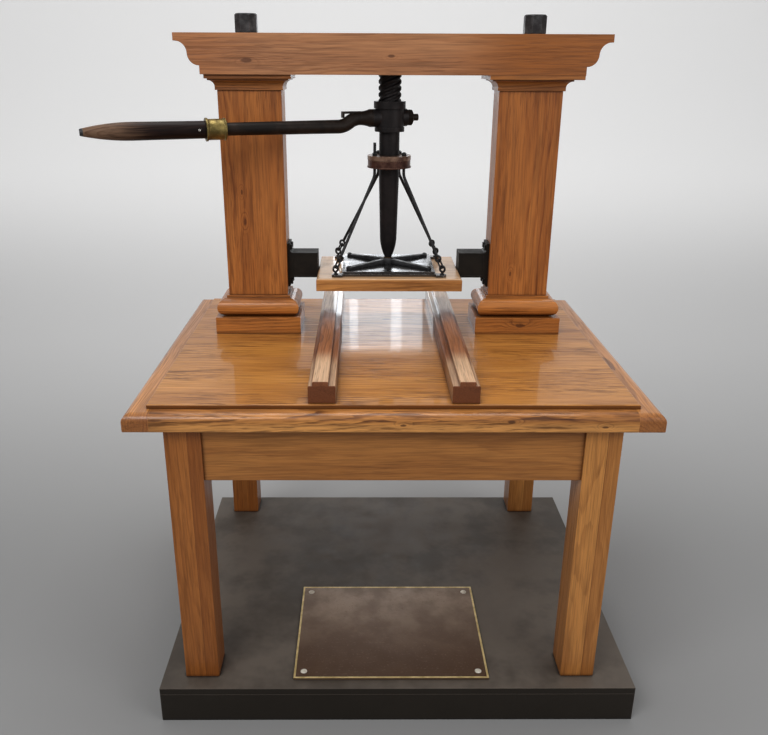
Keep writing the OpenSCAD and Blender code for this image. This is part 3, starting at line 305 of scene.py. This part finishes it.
def metal(
    name, deep, pale, edge_colour, rough, size=1.0, metallic=1.0, depth=0.0002, sheen=0.5, stains=()
):
    """A metal finish: deep where it is tarnished, pale where it is rubbed, bright on its edges.

    stains are (axis, where it starts, where it is full, share, colour)."""
    finish, tree, shader = new_finish(name, metallic=metallic, specular_ior_level=sheen)
    place = object_place(tree)
    marks = node(tree, "Group", {"Vector": place, "Size": size}, node_tree=rubbed).outputs
    edge = worn(tree, metal_edge_r)
    colour = tint(tree, marks["Cloud"], deep, pale)
    for axis, start, full, share, shade in stains:
        along_axis = node(tree, "SeparateXYZ", [place]).outputs[axis]
        colour = tint(tree, spread(tree, along_axis, start, full, 0.0, share), colour, shade)
    colour = tint(tree, math_node(tree, "MULTIPLY", marks["Pit"], 0.6), colour, deep)
    colour = tint(tree, math_node(tree, "MULTIPLY", edge["Edge"], 0.7), colour, edge_colour)
    tree.links.new(tint(tree, edge["Hollow"], colour, deep), shader.inputs["Base Color"])
    roughness = spread(tree, marks["Cloud"], 0.0, 1.0, rough + 0.1, rough)
    roughness = math_node(tree, "ADD", roughness, math_node(tree, "MULTIPLY", marks["Pit"], 0.15))
    tree.links.new(roughness, shader.inputs["Roughness"])
    unpitted = math_node(tree, "SUBTRACT", 1.0, marks["Pit"])
    height = math_node(tree, "MULTIPLY_ADD", marks["Scratch"], -0.3, unpitted)
    bump(tree, shader, height, edge["Normal"], depth)
    return finish


low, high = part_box("plaque")
# Painted shade: the plate darkens and browns towards its front edge, where its reflection fades.
dress(
    ["plaque"],
    metal(
        "browned bronze plate", tone(112, 90, 72), tone(142, 120, 100), tone(150, 120, 84), 0.3,
        0.5, 0.2, stains=[("Y", high.y - 0.03, low.y + 0.04, 0.85, tone(74, 48, 28))],
    ),
)
dress(
    ["plaque_screws"],
    metal(
        "bright screw heads", tone(204, 196, 180), tone(246, 240, 226), tone(250, 246, 236), 0.3,
        3, 0.2,
    ),
)

border = bmesh.new()
corners = ((low.x, low.y), (high.x, low.y), (high.x, high.y), (low.x, high.y))
plate = border.faces.new([border.verts.new((x, y, high.z)) for x, y in corners])
inward = {"use_boundary": True, "use_even_offset": True}
bmesh.ops.inset_region(border, faces=[plate], thickness=line_inset, **inward)
rim = bmesh.ops.inset_region(border, faces=[plate], thickness=line_w, **inward)["faces"]
outer = [face for face in border.faces if face not in rim]
bmesh.ops.delete(border, geom=outer, context="FACES")
raised = bmesh.ops.extrude_face_region(border, geom=border.faces[:])["geom"]
raised = [part for part in raised if isinstance(part, bmesh.types.BMVert)]
bmesh.ops.translate(border, verts=raised, vec=(0, 0, line_proud))
bmesh.ops.recalc_face_normals(border, faces=border.faces)
brass_line = metal(
    "brass line", tone(190, 164, 106), tone(236, 212, 150), tone(246, 230, 178), 0.3, 2, 0.2
)
piece = put_mesh("plaque_line", border, brass_line)
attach(piece, "frame")


# The legs: four square posts of pine, each glued up from two boards, with upright grain. They
# are stained orange-brown and varnished. Their feet are painted darker as painted shade, and the
# right legs get a paler copy of the stain as painted light.
ring_step = 0.0085

knot_group, given, result = new_group(
    "knot",
    [
        ("Vector", "Vector", (0, 0, 0)), ("Centre", "Vector", (0, 0, 0)),
        ("Shape", "Vector", (1, 1, 1)), ("Radius", "Float", 0.01),
    ],
    [("Swirl", "Float"), ("Core", "Float")],
)
offset = [given["Vector"], given["Centre"]]
offset = node(knot_group, "VectorMath", offset, operation="SUBTRACT").outputs[0]
offset = node(knot_group, "VectorMath", [offset, given["Shape"]], operation="MULTIPLY").outputs[0]
reach = node(knot_group, "VectorMath", [offset], operation="LENGTH").outputs["Value"]
reach = math_node(knot_group, "DIVIDE", reach, given["Radius"])
frayed = noise(knot_group, given["Vector"], (160, 160, 160), 2)
frayed = math_node(knot_group, "MULTIPLY_ADD", frayed, 0.5, -0.25)
reach = math_node(knot_group, "ADD", reach, frayed)
knot_group.links.new(spread(knot_group, reach, 4.0, 0.6), result["Swirl"])
knot_group.links.new(spread(knot_group, reach, 1.15, 0.7), result["Core"])

pine, given, result = new_group(
    "pine grain",
    [
        ("Vector", "Vector", (0, 0, 0)), ("Ring Step", "Float", ring_step),
        ("Wave", "Float", 1.0), ("Swirl", "Float", 0.0), ("Fineness", "Float", 1.0),
    ],
    [("Rings", "Float"), ("Fibre", "Float"), ("Dashes", "Float"), ("Bands", "Float")],
)
# Slow bends of the trunk move the rings to the side, the further the slower
bend = noise(pine, given["Vector"], (1.6, 5, 5), 2, 0.5, 1)
bend = node(pine, "VectorMath", [bend, (0.5, 0.5, 0.5)], operation="SUBTRACT").outputs[0]
bend = node(pine, "VectorMath", [bend, (0.0, 0.075, 0.075)], operation="MULTIPLY").outputs[0]
ripple = noise(pine, given["Vector"], (9, 45, 45), 2, 0.5, 1)
ripple = node(pine, "VectorMath", [ripple, (0.5, 0.5, 0.5)], operation="SUBTRACT").outputs[0]
ripple = node(pine, "VectorMath", [ripple, (0.0, 0.009, 0.009)], operation="MULTIPLY").outputs[0]
ripple = node(pine, "VectorMath", {0: ripple, "Scale": given["Wave"]}, operation="SCALE").outputs[0]
trunk = node(pine, "VectorMath", [given["Vector"], bend], operation="ADD").outputs[0]
trunk = node(pine, "VectorMath", [trunk, ripple], operation="ADD").outputs[0]
trunk = node(pine, "VectorMath", [trunk, (0.0, 1.0, 1.0)], operation="MULTIPLY").outputs[0]
radius = node(pine, "VectorMath", [trunk], operation="LENGTH").outputs["Value"]
years = math_node(pine, "DIVIDE", radius, given["Ring Step"])
years = math_node(pine, "ADD", years, math_node(pine, "MULTIPLY", given["Swirl"], 2.2))
season = math_node(pine, "FRACT", years)
late = math_node(pine, "MULTIPLY", spread(pine, season, 0.3, 0.86), spread(pine, season, 1.0, 0.9))
year = math_node(pine, "FLOOR", years)
hardness = node(pine, "TexWhiteNoise", {"W": year}, noise_dimensions="1D").outputs["Value"]
broken = spread(pine, noise(pine, given["Vector"], (5, 24, 24), 3, 0.6), 0.36, 0.6, 0.2, 1.0)
late = math_node(pine, "MULTIPLY", late, math_node(pine, "MULTIPLY_ADD", hardness, 0.6, 0.4))
pine.links.new(math_node(pine, "MULTIPLY", late, broken), result["Rings"])
pine.links.new(noise(pine, given["Vector"], (7, 330, 330), 3, 0.6), result["Fibre"])
scaled = {0: given["Vector"], "Scale": given["Fineness"]}
scaled = node(pine, "VectorMath", scaled, operation="SCALE").outputs[0]
long_dash = spread(pine, noise(pine, scaled, (6, 85, 85), 3, 0.6), 0.51, 0.64)
short_dash = spread(pine, noise(pine, given["Vector"], (18, 280, 280), 2, 0.5), 0.55, 0.68)
dash = math_node(pine, "MAXIMUM", long_dash, short_dash)
patchy = spread(pine, noise(pine, given["Vector"], (2.5, 13, 13), 2, 0.5), 0.36, 0.6, 0.15, 1.0)
pine.links.new(math_node(pine, "MULTIPLY", dash, patchy), result["Dashes"])
broad = noise(pine, given["Vector"], (1.3, 14, 14), 3, 0.55)
pine.links.new(spread(pine, broad, 0.32, 0.68), result["Bands"])

grain_turn = {"x": (0, 0, 0), "y": (0, 0, -math.pi / 2), "z": (0, math.pi / 2, 0)}
grain_stretch = {"x": (0.4, 1, 1), "y": (1, 0.4, 1), "z": (1, 1, 0.4)}
second_board_shift = (0.31, 0.043, 0.027)
pine_edge_r, pine_relief = 0.002, 0.0004


def varnished_pine(
    name, along, pith, pale, deep, ring=ring_step, ring_share=0.6, dash_share=0.45, gloss=0.7,
    glaze=0.1, knots=(), seam=None, tilt=0.0, wave=1.0, fineness=1.0, stains=(), dulled=()
):
    """Pine with its grain along an axis; pith is where the heart of the tree lies, seen on the end.

    gloss is the varnish's share and glaze its roughness; knots are (centre, radius); seam is (axis,
    place) of a glued joint; stains are (axis, where it starts, where it is full, share, colour);
    dulled is (axis, where the varnish is whole, where it is worn, share left)."""
    finish, tree, shader = new_finish(name, coat_roughness=glaze, specular_ior_level=0.35)
    place = object_place(tree)
    turn = Vector(grain_turn[along]) + Vector((0, tilt, tilt))
    trunk = node(
        tree, "Mapping", {"Vector": place, "Rotation": turn, "Location": (0, -pith[0], -pith[1])}
    ).outputs[0]
    second = 0.0
    if seam:
        across = node(tree, "SeparateXYZ", [place]).outputs[seam[0]]
        second = math_node(tree, "GREATER_THAN", across, seam[1])
        shift = {0: second_board_shift, "Scale": second}
        shift = node(tree, "VectorMath", shift, operation="SCALE").outputs[0]
        trunk = node(tree, "VectorMath", [trunk, shift], operation="ADD").outputs[0]
    swirl = core = 0.0
    for centre, size in knots:
        values = {"Vector": place, "Centre": centre, "Shape": grain_stretch[along], "Radius": size}
        knot = node(tree, "Group", values, node_tree=knot_group).outputs
        swirl = math_node(tree, "ADD", swirl, knot["Swirl"])
        core = math_node(tree, "MAXIMUM", core, knot["Core"])
    values = {
        "Vector": trunk, "Ring Step": ring, "Wave": wave, "Swirl": swirl, "Fineness": fineness
    }
    grain = node(tree, "Group", values, node_tree=pine).outputs
    edge = worn(tree, pine_edge_r)

    rich = (*(0.45 * part for part in deep[:3]), 1.0)
    colour = tint(tree, math_node(tree, "MULTIPLY", grain["Bands"], 0.5), pale, deep)
    colour = tint(tree, math_node(tree, "MULTIPLY", grain["Rings"], ring_share), colour, deep)
    sharp = math_node(tree, "POWER", grain["Rings"], 3.0)
    colour = tint(tree, math_node(tree, "MULTIPLY", sharp, 0.6 * ring_share), colour, rich)
    for axis, start, full, share, shade in stains:
        along_axis = node(tree, "SeparateXYZ", [place]).outputs[axis]
        colour = tint(tree, spread(tree, along_axis, start, full, 0.0, share), colour, shade)
    thread = spread(tree, grain["Fibre"], 0.35, 0.7, 1.14, 0.78)
    colour = node(tree, "VectorMath", {0: colour, "Scale": thread}, operation="SCALE").outputs[0]
    colour = tint(tree, math_node(tree, "MULTIPLY", grain["Dashes"], dash_share), colour, rich)
    if seam:
        colour = tint(tree, math_node(tree, "MULTIPLY", second, 0.35), colour, deep)
        near = math_node(tree, "ABSOLUTE", math_node(tree, "SUBTRACT", across, seam[1]))
        colour = tint(tree, spread(tree, near, 0.0009, 0.0003, 0.0, 0.6), colour, rich)
    if knots:
        colour = tint(tree, math_node(tree, "MULTIPLY", core, 0.8), colour, rich)
    colour = tint(tree, math_node(tree, "MULTIPLY", edge["Edge"], 0.3), colour, pale)
    # Painted shade: hollows and the joints between parts are darkened towards the rich brown.
    colour = tint(tree, math_node(tree, "MULTIPLY", edge["Hollow"], 0.75), colour, rich)
    tree.links.new(colour, shader.inputs["Base Color"])
    tree.links.new(spread(tree, grain["Fibre"], 0.3, 0.75, 0.36, 0.55), shader.inputs["Roughness"])
    dull = math_node(tree, "MULTIPLY", grain["Dashes"], 0.5 * gloss)
    coat = math_node(tree, "SUBTRACT", gloss, dull)
    for axis, start, full, share in dulled:
        along_axis = node(tree, "SeparateXYZ", [place]).outputs[axis]
        coat = math_node(tree, "MULTIPLY", coat, spread(tree, along_axis, start, full, 1.0, share))
    tree.links.new(coat, shader.inputs["Coat Weight"])
    relief = math_node(tree, "MULTIPLY", grain["Dashes"], -0.6)
    relief = math_node(tree, "MULTIPLY_ADD", grain["Rings"], -0.35, relief)
    relief = math_node(tree, "ADD", relief, math_node(tree, "MULTIPLY", grain["Fibre"], 0.4))
    bump(tree, shader, relief, edge["Normal"], pine_relief)
    return finish


# Painted light: the right legs take a paler copy of the stain.
leg_pale, leg_deep, leg_lit_pale = tone(176, 108, 48), tone(126, 66, 20), tone(206, 140, 72)
leg_ring, leg_seam, foot_shade_h = 0.0075, 0.62, 0.1
for side, end, pith_back, pith_across, pale in (
    ("left", "front", 0.118, 0.7, leg_pale), ("right", "front", 0.1255, 0.25, leg_lit_pale),
    ("left", "back", 0.17, 0.7, leg_pale), ("right", "back", 0.158, 0.25, leg_lit_pale),
):
    low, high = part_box(f"leg_{end}_{side}")
    across = high.x - low.x
    dress(
        [f"leg_{end}_{side}"],
        varnished_pine(
            f"leg pine {end} {side}", "z", (low.y + pith_back, -(low.x + pith_across * across)),
            pale, leg_deep, ring=leg_ring, ring_share=0.28, dash_share=0.3, gloss=0.3, glaze=0.2,
            seam=("X", low.x + leg_seam * across), tilt=0.012,
            # Painted shade: each leg darkens towards its foot.
            stains=[("Z", low.z + foot_shade_h, low.z, 0.3, leg_deep)],
        ),
    )


# The aprons: four boards of pine under the edge of the table, with level grain and a satin
# varnish. Their ends are tenoned into the legs.
apron_pale, apron_deep = tone(179, 118, 58), tone(128, 72, 28)
low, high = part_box("apron_front")
dress(
    ["apron_front", "apron_back"],
    varnished_pine(
        "apron pine", "x", (low.y + 0.09, low.z + 0.1), apron_pale, apron_deep, ring=0.011,
        ring_share=0.35, dash_share=0.25, gloss=0.3, glaze=0.2, tilt=0.02,
    ),
)
dress(
    ["apron_left", "apron_right"],
    varnished_pine(
        "end apron pine", "y", (-0.42, low.z + 0.09), apron_pale, apron_deep, ring=0.011,
        ring_share=0.45, gloss=0.4, glaze=0.18, tilt=0.02,
    ),
)


# The table: a thick slab with boards across its ends and a thin raised field, all of pine under
# a glossy varnish. The slab's front edge shows lively cathedral grain.
top_pale, top_deep = tone(197, 134, 60), tone(139, 78, 23)
edge_pale, edge_deep = tone(202, 134, 66), tone(100, 50, 14)
end_pale, end_grain_brown = tone(196, 130, 64), tone(134, 76, 38)
lit_lower_nose_pale, step_shade_brown = tone(246, 176, 98), tone(92, 46, 14)

low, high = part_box("table_slab")
dress(
    ["table_slab"],
    varnished_pine(
        "slab pine", "x", (low.y + 0.03, low.z - 0.16), edge_pale, edge_deep, ring=0.0115,
        ring_share=1.0, dash_share=0.7, gloss=0.5, tilt=0.03, wave=2.6, fineness=1.2,
        knots=[
            ((0.02, low.y, low.z + 0.018), 0.003), ((0.26, low.y, low.z + 0.026), 0.0035),
            ((0.47, low.y, low.z + 0.014), 0.003),
        ],
        stains=[
            # Painted light: the lower, downward-facing part of the front edge is painted paler.
            ("Z", high.z - 0.012, low.z + 0.012, 0.5, lit_lower_nose_pale),
            ("X", -0.42, -0.6, 0.6, edge_deep), ("X", 0.5, 0.6, 0.3, edge_deep),
        ],
    ),
)
dress(
    ["table_end_left", "table_end_right"],
    varnished_pine(
        "end board pine", "y", (-0.58, low.z - 0.03), end_pale, edge_deep, ring=0.007,
        ring_share=0.6, gloss=0.5, tilt=0.02,
        stains=[("Y", -0.45, -0.472, 0.6, end_grain_brown)],
    ),
)
low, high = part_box("table_field")
dress(
    ["table_field"],
    varnished_pine(
        "field pine", "x", (0.1, high.z - 0.16), top_pale, top_deep, ring=0.009, ring_share=0.65,
        dash_share=0.75, gloss=0.42, glaze=0.05, tilt=0.012, wave=1.2, fineness=1.8,
        knots=[((0.0, 0.21, high.z), 0.006)],
        # Painted shade: the field's step faces below its top are painted dark brown.
        stains=[("Z", high.z - 0.001, high.z - 0.003, 0.8, step_shade_brown)],
    ),
)


# The rails: two strips of pine planed to a step, rubbed pale towards both ends where the bed slid,
# with dark arrises. Their varnish is whole only behind the screw. They are glued to the table.
rail_pale, rail_deep = tone(158, 96, 50), tone(96, 48, 20)
rubbed_pale, rail_end_brown = tone(236, 200, 160), tone(120, 58, 20)
front_fade_l, front_worn_l, end_t = 0.22, 0.12, 0.004
grime_y, back_fade_y, back_worn_y = 0.03, 0.12, 0.17
varnish_worn_y, varnish_whole_y = 0.09, 0.15
for side in ("left", "right"):
    low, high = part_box(f"rail_{side}")
    dress(
        [f"rail_{side}"],
        varnished_pine(
            f"rail pine {side}", "y", (-(low.x + 0.4 * (high.x - low.x)), low.z - 0.02), rail_pale,
            rail_deep, ring=0.008, gloss=1.0, glaze=0.06, tilt=0.02,
            dulled=[("Y", varnish_whole_y, varnish_worn_y, 0.1)],
            stains=[
                ("Y", low.y + front_fade_l, low.y + front_worn_l, 0.6, rubbed_pale),
                ("Y", low.y + end_t, low.y + end_t / 4, 0.9, rail_end_brown),
                ("Y", grime_y, varnish_worn_y, 0.6, rail_deep),
                ("Y", back_fade_y, back_worn_y, 0.6, rubbed_pale),
                ("Y", high.y - end_t, high.y - end_t / 4, 0.9, rail_end_brown),
                ("Z", high.z - 0.006, high.z - 0.014, 0.6, rail_deep),
            ],
        ),
    )


# The posts with their feet and capitals: each is a shaft of thick pine between mouldings that
# were planed in lengths and mitred round it. Rods inside them tie the beam to the table.
post_pale, post_deep = tone(186, 115, 54), tone(124, 60, 18)
block_pale, torus_pale, torus_deep = tone(186, 116, 52), tone(200, 126, 58), tone(120, 62, 22)
moulding_pale, moulding_deep = tone(174, 110, 54), tone(108, 54, 18)
for side, pith_across in (("left", 0.62), ("right", 0.35)):
    low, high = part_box(f"post_{side}")
    spots = {
        "left": [((low.x + 0.055, low.y, 1.165), 0.004), ((low.x + 0.05, low.y, 1.245), 0.003)],
        "right": [((low.x + 0.06, low.y, 1.02), 0.003)],
    }[side]
    dress(
        [f"post_{side}"],
        varnished_pine(
            f"post pine {side}", "z", (low.y + 0.13, -(low.x + pith_across * (high.x - low.x))),
            post_pale, post_deep, ring=0.010, gloss=0.15, glaze=0.2, knots=spots, tilt=0.01,
        ),
    )
    low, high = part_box(f"base_block_{side}")
    spots = [((high.x - 0.11, low.y, low.z + 0.025), 0.006)] if side == "right" else []
    dress(
        [f"base_block_{side}"],
        varnished_pine(
            f"foot pine {side}", "x", (low.y + 0.03, low.z - 0.05), block_pale, moulding_deep,
            ring=0.009, gloss=0.5, glaze=0.12, knots=spots, tilt=0.02,
        ),
    )
    dress(
        [f"base_torus_{side}"],
        varnished_pine(
            f"torus pine {side}", "x", (low.y + 0.05, low.z - 0.02), torus_pale, torus_deep,
            ring=0.009, gloss=0.35, glaze=0.12, tilt=0.02,
        ),
    )
    dress(
        [f"capital_{side}"],
        varnished_pine(
            f"capital pine {side}", "x", (0.1, high.z + 0.5), moulding_pale, moulding_deep,
            ring=0.008, gloss=0.08, glaze=0.3, tilt=0.02,
        ),
    )


# The cap beam: one pine balk that ties the posts, its ends sawn to a step, a cove and an ovolo.
# It carries the screw's nut. Its colour is a little pinker than the table's.
beam_pale, beam_deep = tone(184, 128, 86), tone(132, 78, 46)
right_end_brown, left_end_brown = tone(148, 82, 20), tone(170, 100, 48)
low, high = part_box("cap_beam")
dress(
    ["cap_beam"],
    varnished_pine(
        "beam pine", "x", (low.y + 0.06, high.z + 0.05), beam_pale, beam_deep,
        ring=0.010, ring_share=0.5, dash_share=0.35, gloss=0.4, glaze=0.15, tilt=0.012,
        knots=[((-0.365, low.y, low.z + 0.034), 0.006), ((0.0, low.y, low.z + 0.045), 0.004)],
        stains=[("X", 0.1, 0.35, 0.85, right_end_brown), ("X", -0.3, -0.5, 0.4, left_end_brown)],
    ),
)


# The tie rods: forged rods from beam to table with heavy eight-sided nuts, and washers under the
# table. All are blackened, and rubbed grey where a spanner has gripped them.
blackened = metal(
    "blackened iron", tone(34, 33, 35), tone(80, 80, 82), tone(128, 128, 128), 0.42, 1.5, 0.3,
    sheen=0.4,
)
dress(["tie_rods", "tie_nuts", "tie_washers"], blackened)


# The nut in the beam: a bronze casting let into the wood, held up by a round plate with four
# countersunk screws.
aged_bronze = metal(
    "aged bronze", tone(70, 50, 32), tone(120, 92, 58), tone(170, 136, 90), 0.36, 1.5, 0.9
)
dress(["screw_nut", "nut_plate"], aged_bronze)
dress(["nut_plate_screws"], blackened)


# The guide brackets: iron castings painted black, each a hollow-faced block on a wall plate
# that is bolted to the post. The platen slides between them.
black_paint = metal(
    "black painted iron", tone(18, 15, 12), tone(27, 23, 18), tone(58, 50, 42), 0.5, 1.2, 0.0,
    sheen=0.25,
)
dress(["guide_bracket_left", "guide_bracket_right", "bracket_bolts"], black_paint)


# The platen: a pine board with a polished steel plate in two layers on it. A spider of four
# tapered arms spreads the screw's push, and a bronze cup in its hub takes the screw's toe.
platen_pale, platen_deep, top_highlight_pale = tone(200, 136, 68), tone(136, 78, 26), tone(232, 200, 160)

low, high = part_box("platen_board")
dress(
    ["platen_board"],
    varnished_pine(
        "platen pine", "x", (low.y + 0.06, low.z - 0.03), platen_pale, platen_deep,
        ring=0.008, gloss=0.9, glaze=0.06, tilt=0.02,
        # Painted highlight: the top face and the upper edge of the board are painted paler.
        stains=[("Z", high.z - 0.004, high.z - 0.001, 0.5, top_highlight_pale)],
    ),
)
polished = metal(
    "polished steel", tone(84, 82, 82), tone(122, 120, 121), tone(180, 178, 176), 0.18, 0.8,
    depth=0.00005,
)
dress(["platen_plate", "bearing_plate"], polished)
dress(["spider", "spider_screws"], blackened)
dress(["toe_cup"], aged_bronze)


# The hangers: four bent rods, each hooked by a link to an eye at the plate's corner. They hang
# from the collar, a bronze ring in two layers whose lower half is sawn to close on the screw.
dress(
    ["hanger_rods_front", "hanger_rods_back", "rod_nuts", "corner_links", "corner_eyes"],
    metal(
        "hanger iron", tone(26, 25, 27), tone(46, 45, 46), tone(104, 100, 98), 0.42, 2.5, 0.3,
        sheen=0.35,
    ),
)
dress(
    ["collar_halves"],
    metal(
        "collar bronze", tone(66, 42, 36), tone(106, 74, 62), tone(170, 130, 104), 0.34, 1.6, 0.8
    ),
)
# Painted light: the cap is a paler copy of the collar bronze, for the light that its top catches.
dress(
    ["collar_cap"],
    metal(
        "collar bronze painted lighter", tone(84, 58, 48), tone(150, 120, 100), tone(196, 160, 136), 0.34,
        1.6, 0.6,
    ),
)


# The screw: one iron forging, turned bright and blackened since, with a four-start thread above
# a hub. A disc inside the beam stops it.
dress(
    ["spindle", "stop_disc"],
    metal(
        "screw iron", tone(23, 20, 21), tone(36, 31, 31), tone(66, 60, 58), 0.44, 1.2, 0.3,
        sheen=0.25,
    ),
)


# The bar: a forged iron lever keyed through the hub and held by a nut. A brass ferrule ends its
# iron part, and a small steel screw pins the grip to the tang.
dress(
    ["bar", "bar_nut"],
    metal(
        "bar iron", tone(20, 15, 12), tone(38, 28, 22), tone(74, 60, 50), 0.42, 1.0, 0.1,
        sheen=0.2,
    ),
)
dress(
    ["ferrule"],
    metal("dull brass", tone(100, 86, 48), tone(156, 136, 80), tone(190, 170, 110), 0.34, 2.5, 0.8),
)
dress(["grip_cap"], blackened)

screw_axis = Vector((0.0, 0.153, 0.0))
bar_turn = math.radians(20)
bar_way = Vector((-math.cos(bar_turn), -math.sin(bar_turn), 0.0))
worn_from, worn_to = 0.62, 0.76
grip_ring, grip_relief = 0.005, 0.0003
stain_dark, stain_brown, stain_streak = tone(22, 14, 13), tone(36, 24, 22), tone(62, 42, 34)
bare_pale, bare_deep = tone(126, 98, 78), tone(88, 62, 46)

finish, tree, shader = new_finish("dark stained grip", specular_ior_level=0.12)
place = object_place(tree)
out = node(tree, "VectorMath", [place, screw_axis], operation="SUBTRACT").outputs[0]
out = node(tree, "VectorMath", [out, bar_way], operation="DOT_PRODUCT").outputs["Value"]
grain = node(
    tree, "Mapping", {"Vector": place, "Rotation": (0, 0, -bar_turn), "Location": (0, 0.02, -1.40)}
).outputs[0]
figure = node(tree, "Group", {"Vector": grain, "Ring Step": grip_ring}, node_tree=pine).outputs
edge = worn(tree, 0.001)
ragged = math_node(tree, "MULTIPLY_ADD", figure["Fibre"], 0.22, -0.11)
rubbed_share = spread(tree, math_node(tree, "ADD", out, ragged), worn_from, worn_to)
colour = tint(tree, figure["Bands"], stain_dark, stain_brown)
colour = tint(tree, math_node(tree, "MULTIPLY", figure["Rings"], 0.5), colour, stain_streak)
bare = tint(tree, figure["Rings"], bare_pale, bare_deep)
colour = tint(tree, math_node(tree, "MULTIPLY", rubbed_share, 0.85), colour, bare)
tree.links.new(colour, shader.inputs["Base Color"])
tree.links.new(spread(tree, figure["Fibre"], 0.3, 0.75, 0.32, 0.5), shader.inputs["Roughness"])
bump(tree, shader, figure["Fibre"], edge["Normal"], grip_relief)
dress(["grip"], finish)

pin_out, pin_z, pin_r, pin_h = 0.510, 1.416, 0.0036, 0.0016
pin_bevel_w, pin_dome_h = 0.00126, 0.0004
grip_r_at_pin = 0.0216
outward = Vector((-bar_way.y, bar_way.x, 0))
seat = screw_axis + bar_way * pin_out + outward * grip_r_at_pin + Vector((0, 0, pin_z))

pin = bmesh.new()
bmesh.ops.create_cone(
    pin, cap_ends=True, segments=20, radius1=pin_r, radius2=0.8 * pin_r, depth=pin_h
)
cap = [face for face in pin.faces if face.normal.z > 0.9]
bmesh.ops.inset_region(pin, faces=cap, thickness=pin_bevel_w, depth=pin_dome_h)
turn = outward.to_track_quat("Z", "Y").to_matrix().to_4x4()
bmesh.ops.transform(pin, matrix=Matrix.Translation(seat) @ turn, verts=pin.verts)
bmesh.ops.recalc_face_normals(pin, faces=pin.faces)
pin_steel = metal(
    "grip screw steel", tone(150, 146, 140), tone(214, 210, 204), tone(236, 234, 230), 0.2, 3
)
piece = put_mesh("grip_screw", pin, pin_steel)
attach(piece, "screw")


# Turns a box's corners into plain lists of numbers.
def plain(box):
    return [[float(part) for part in corner] for corner in box]
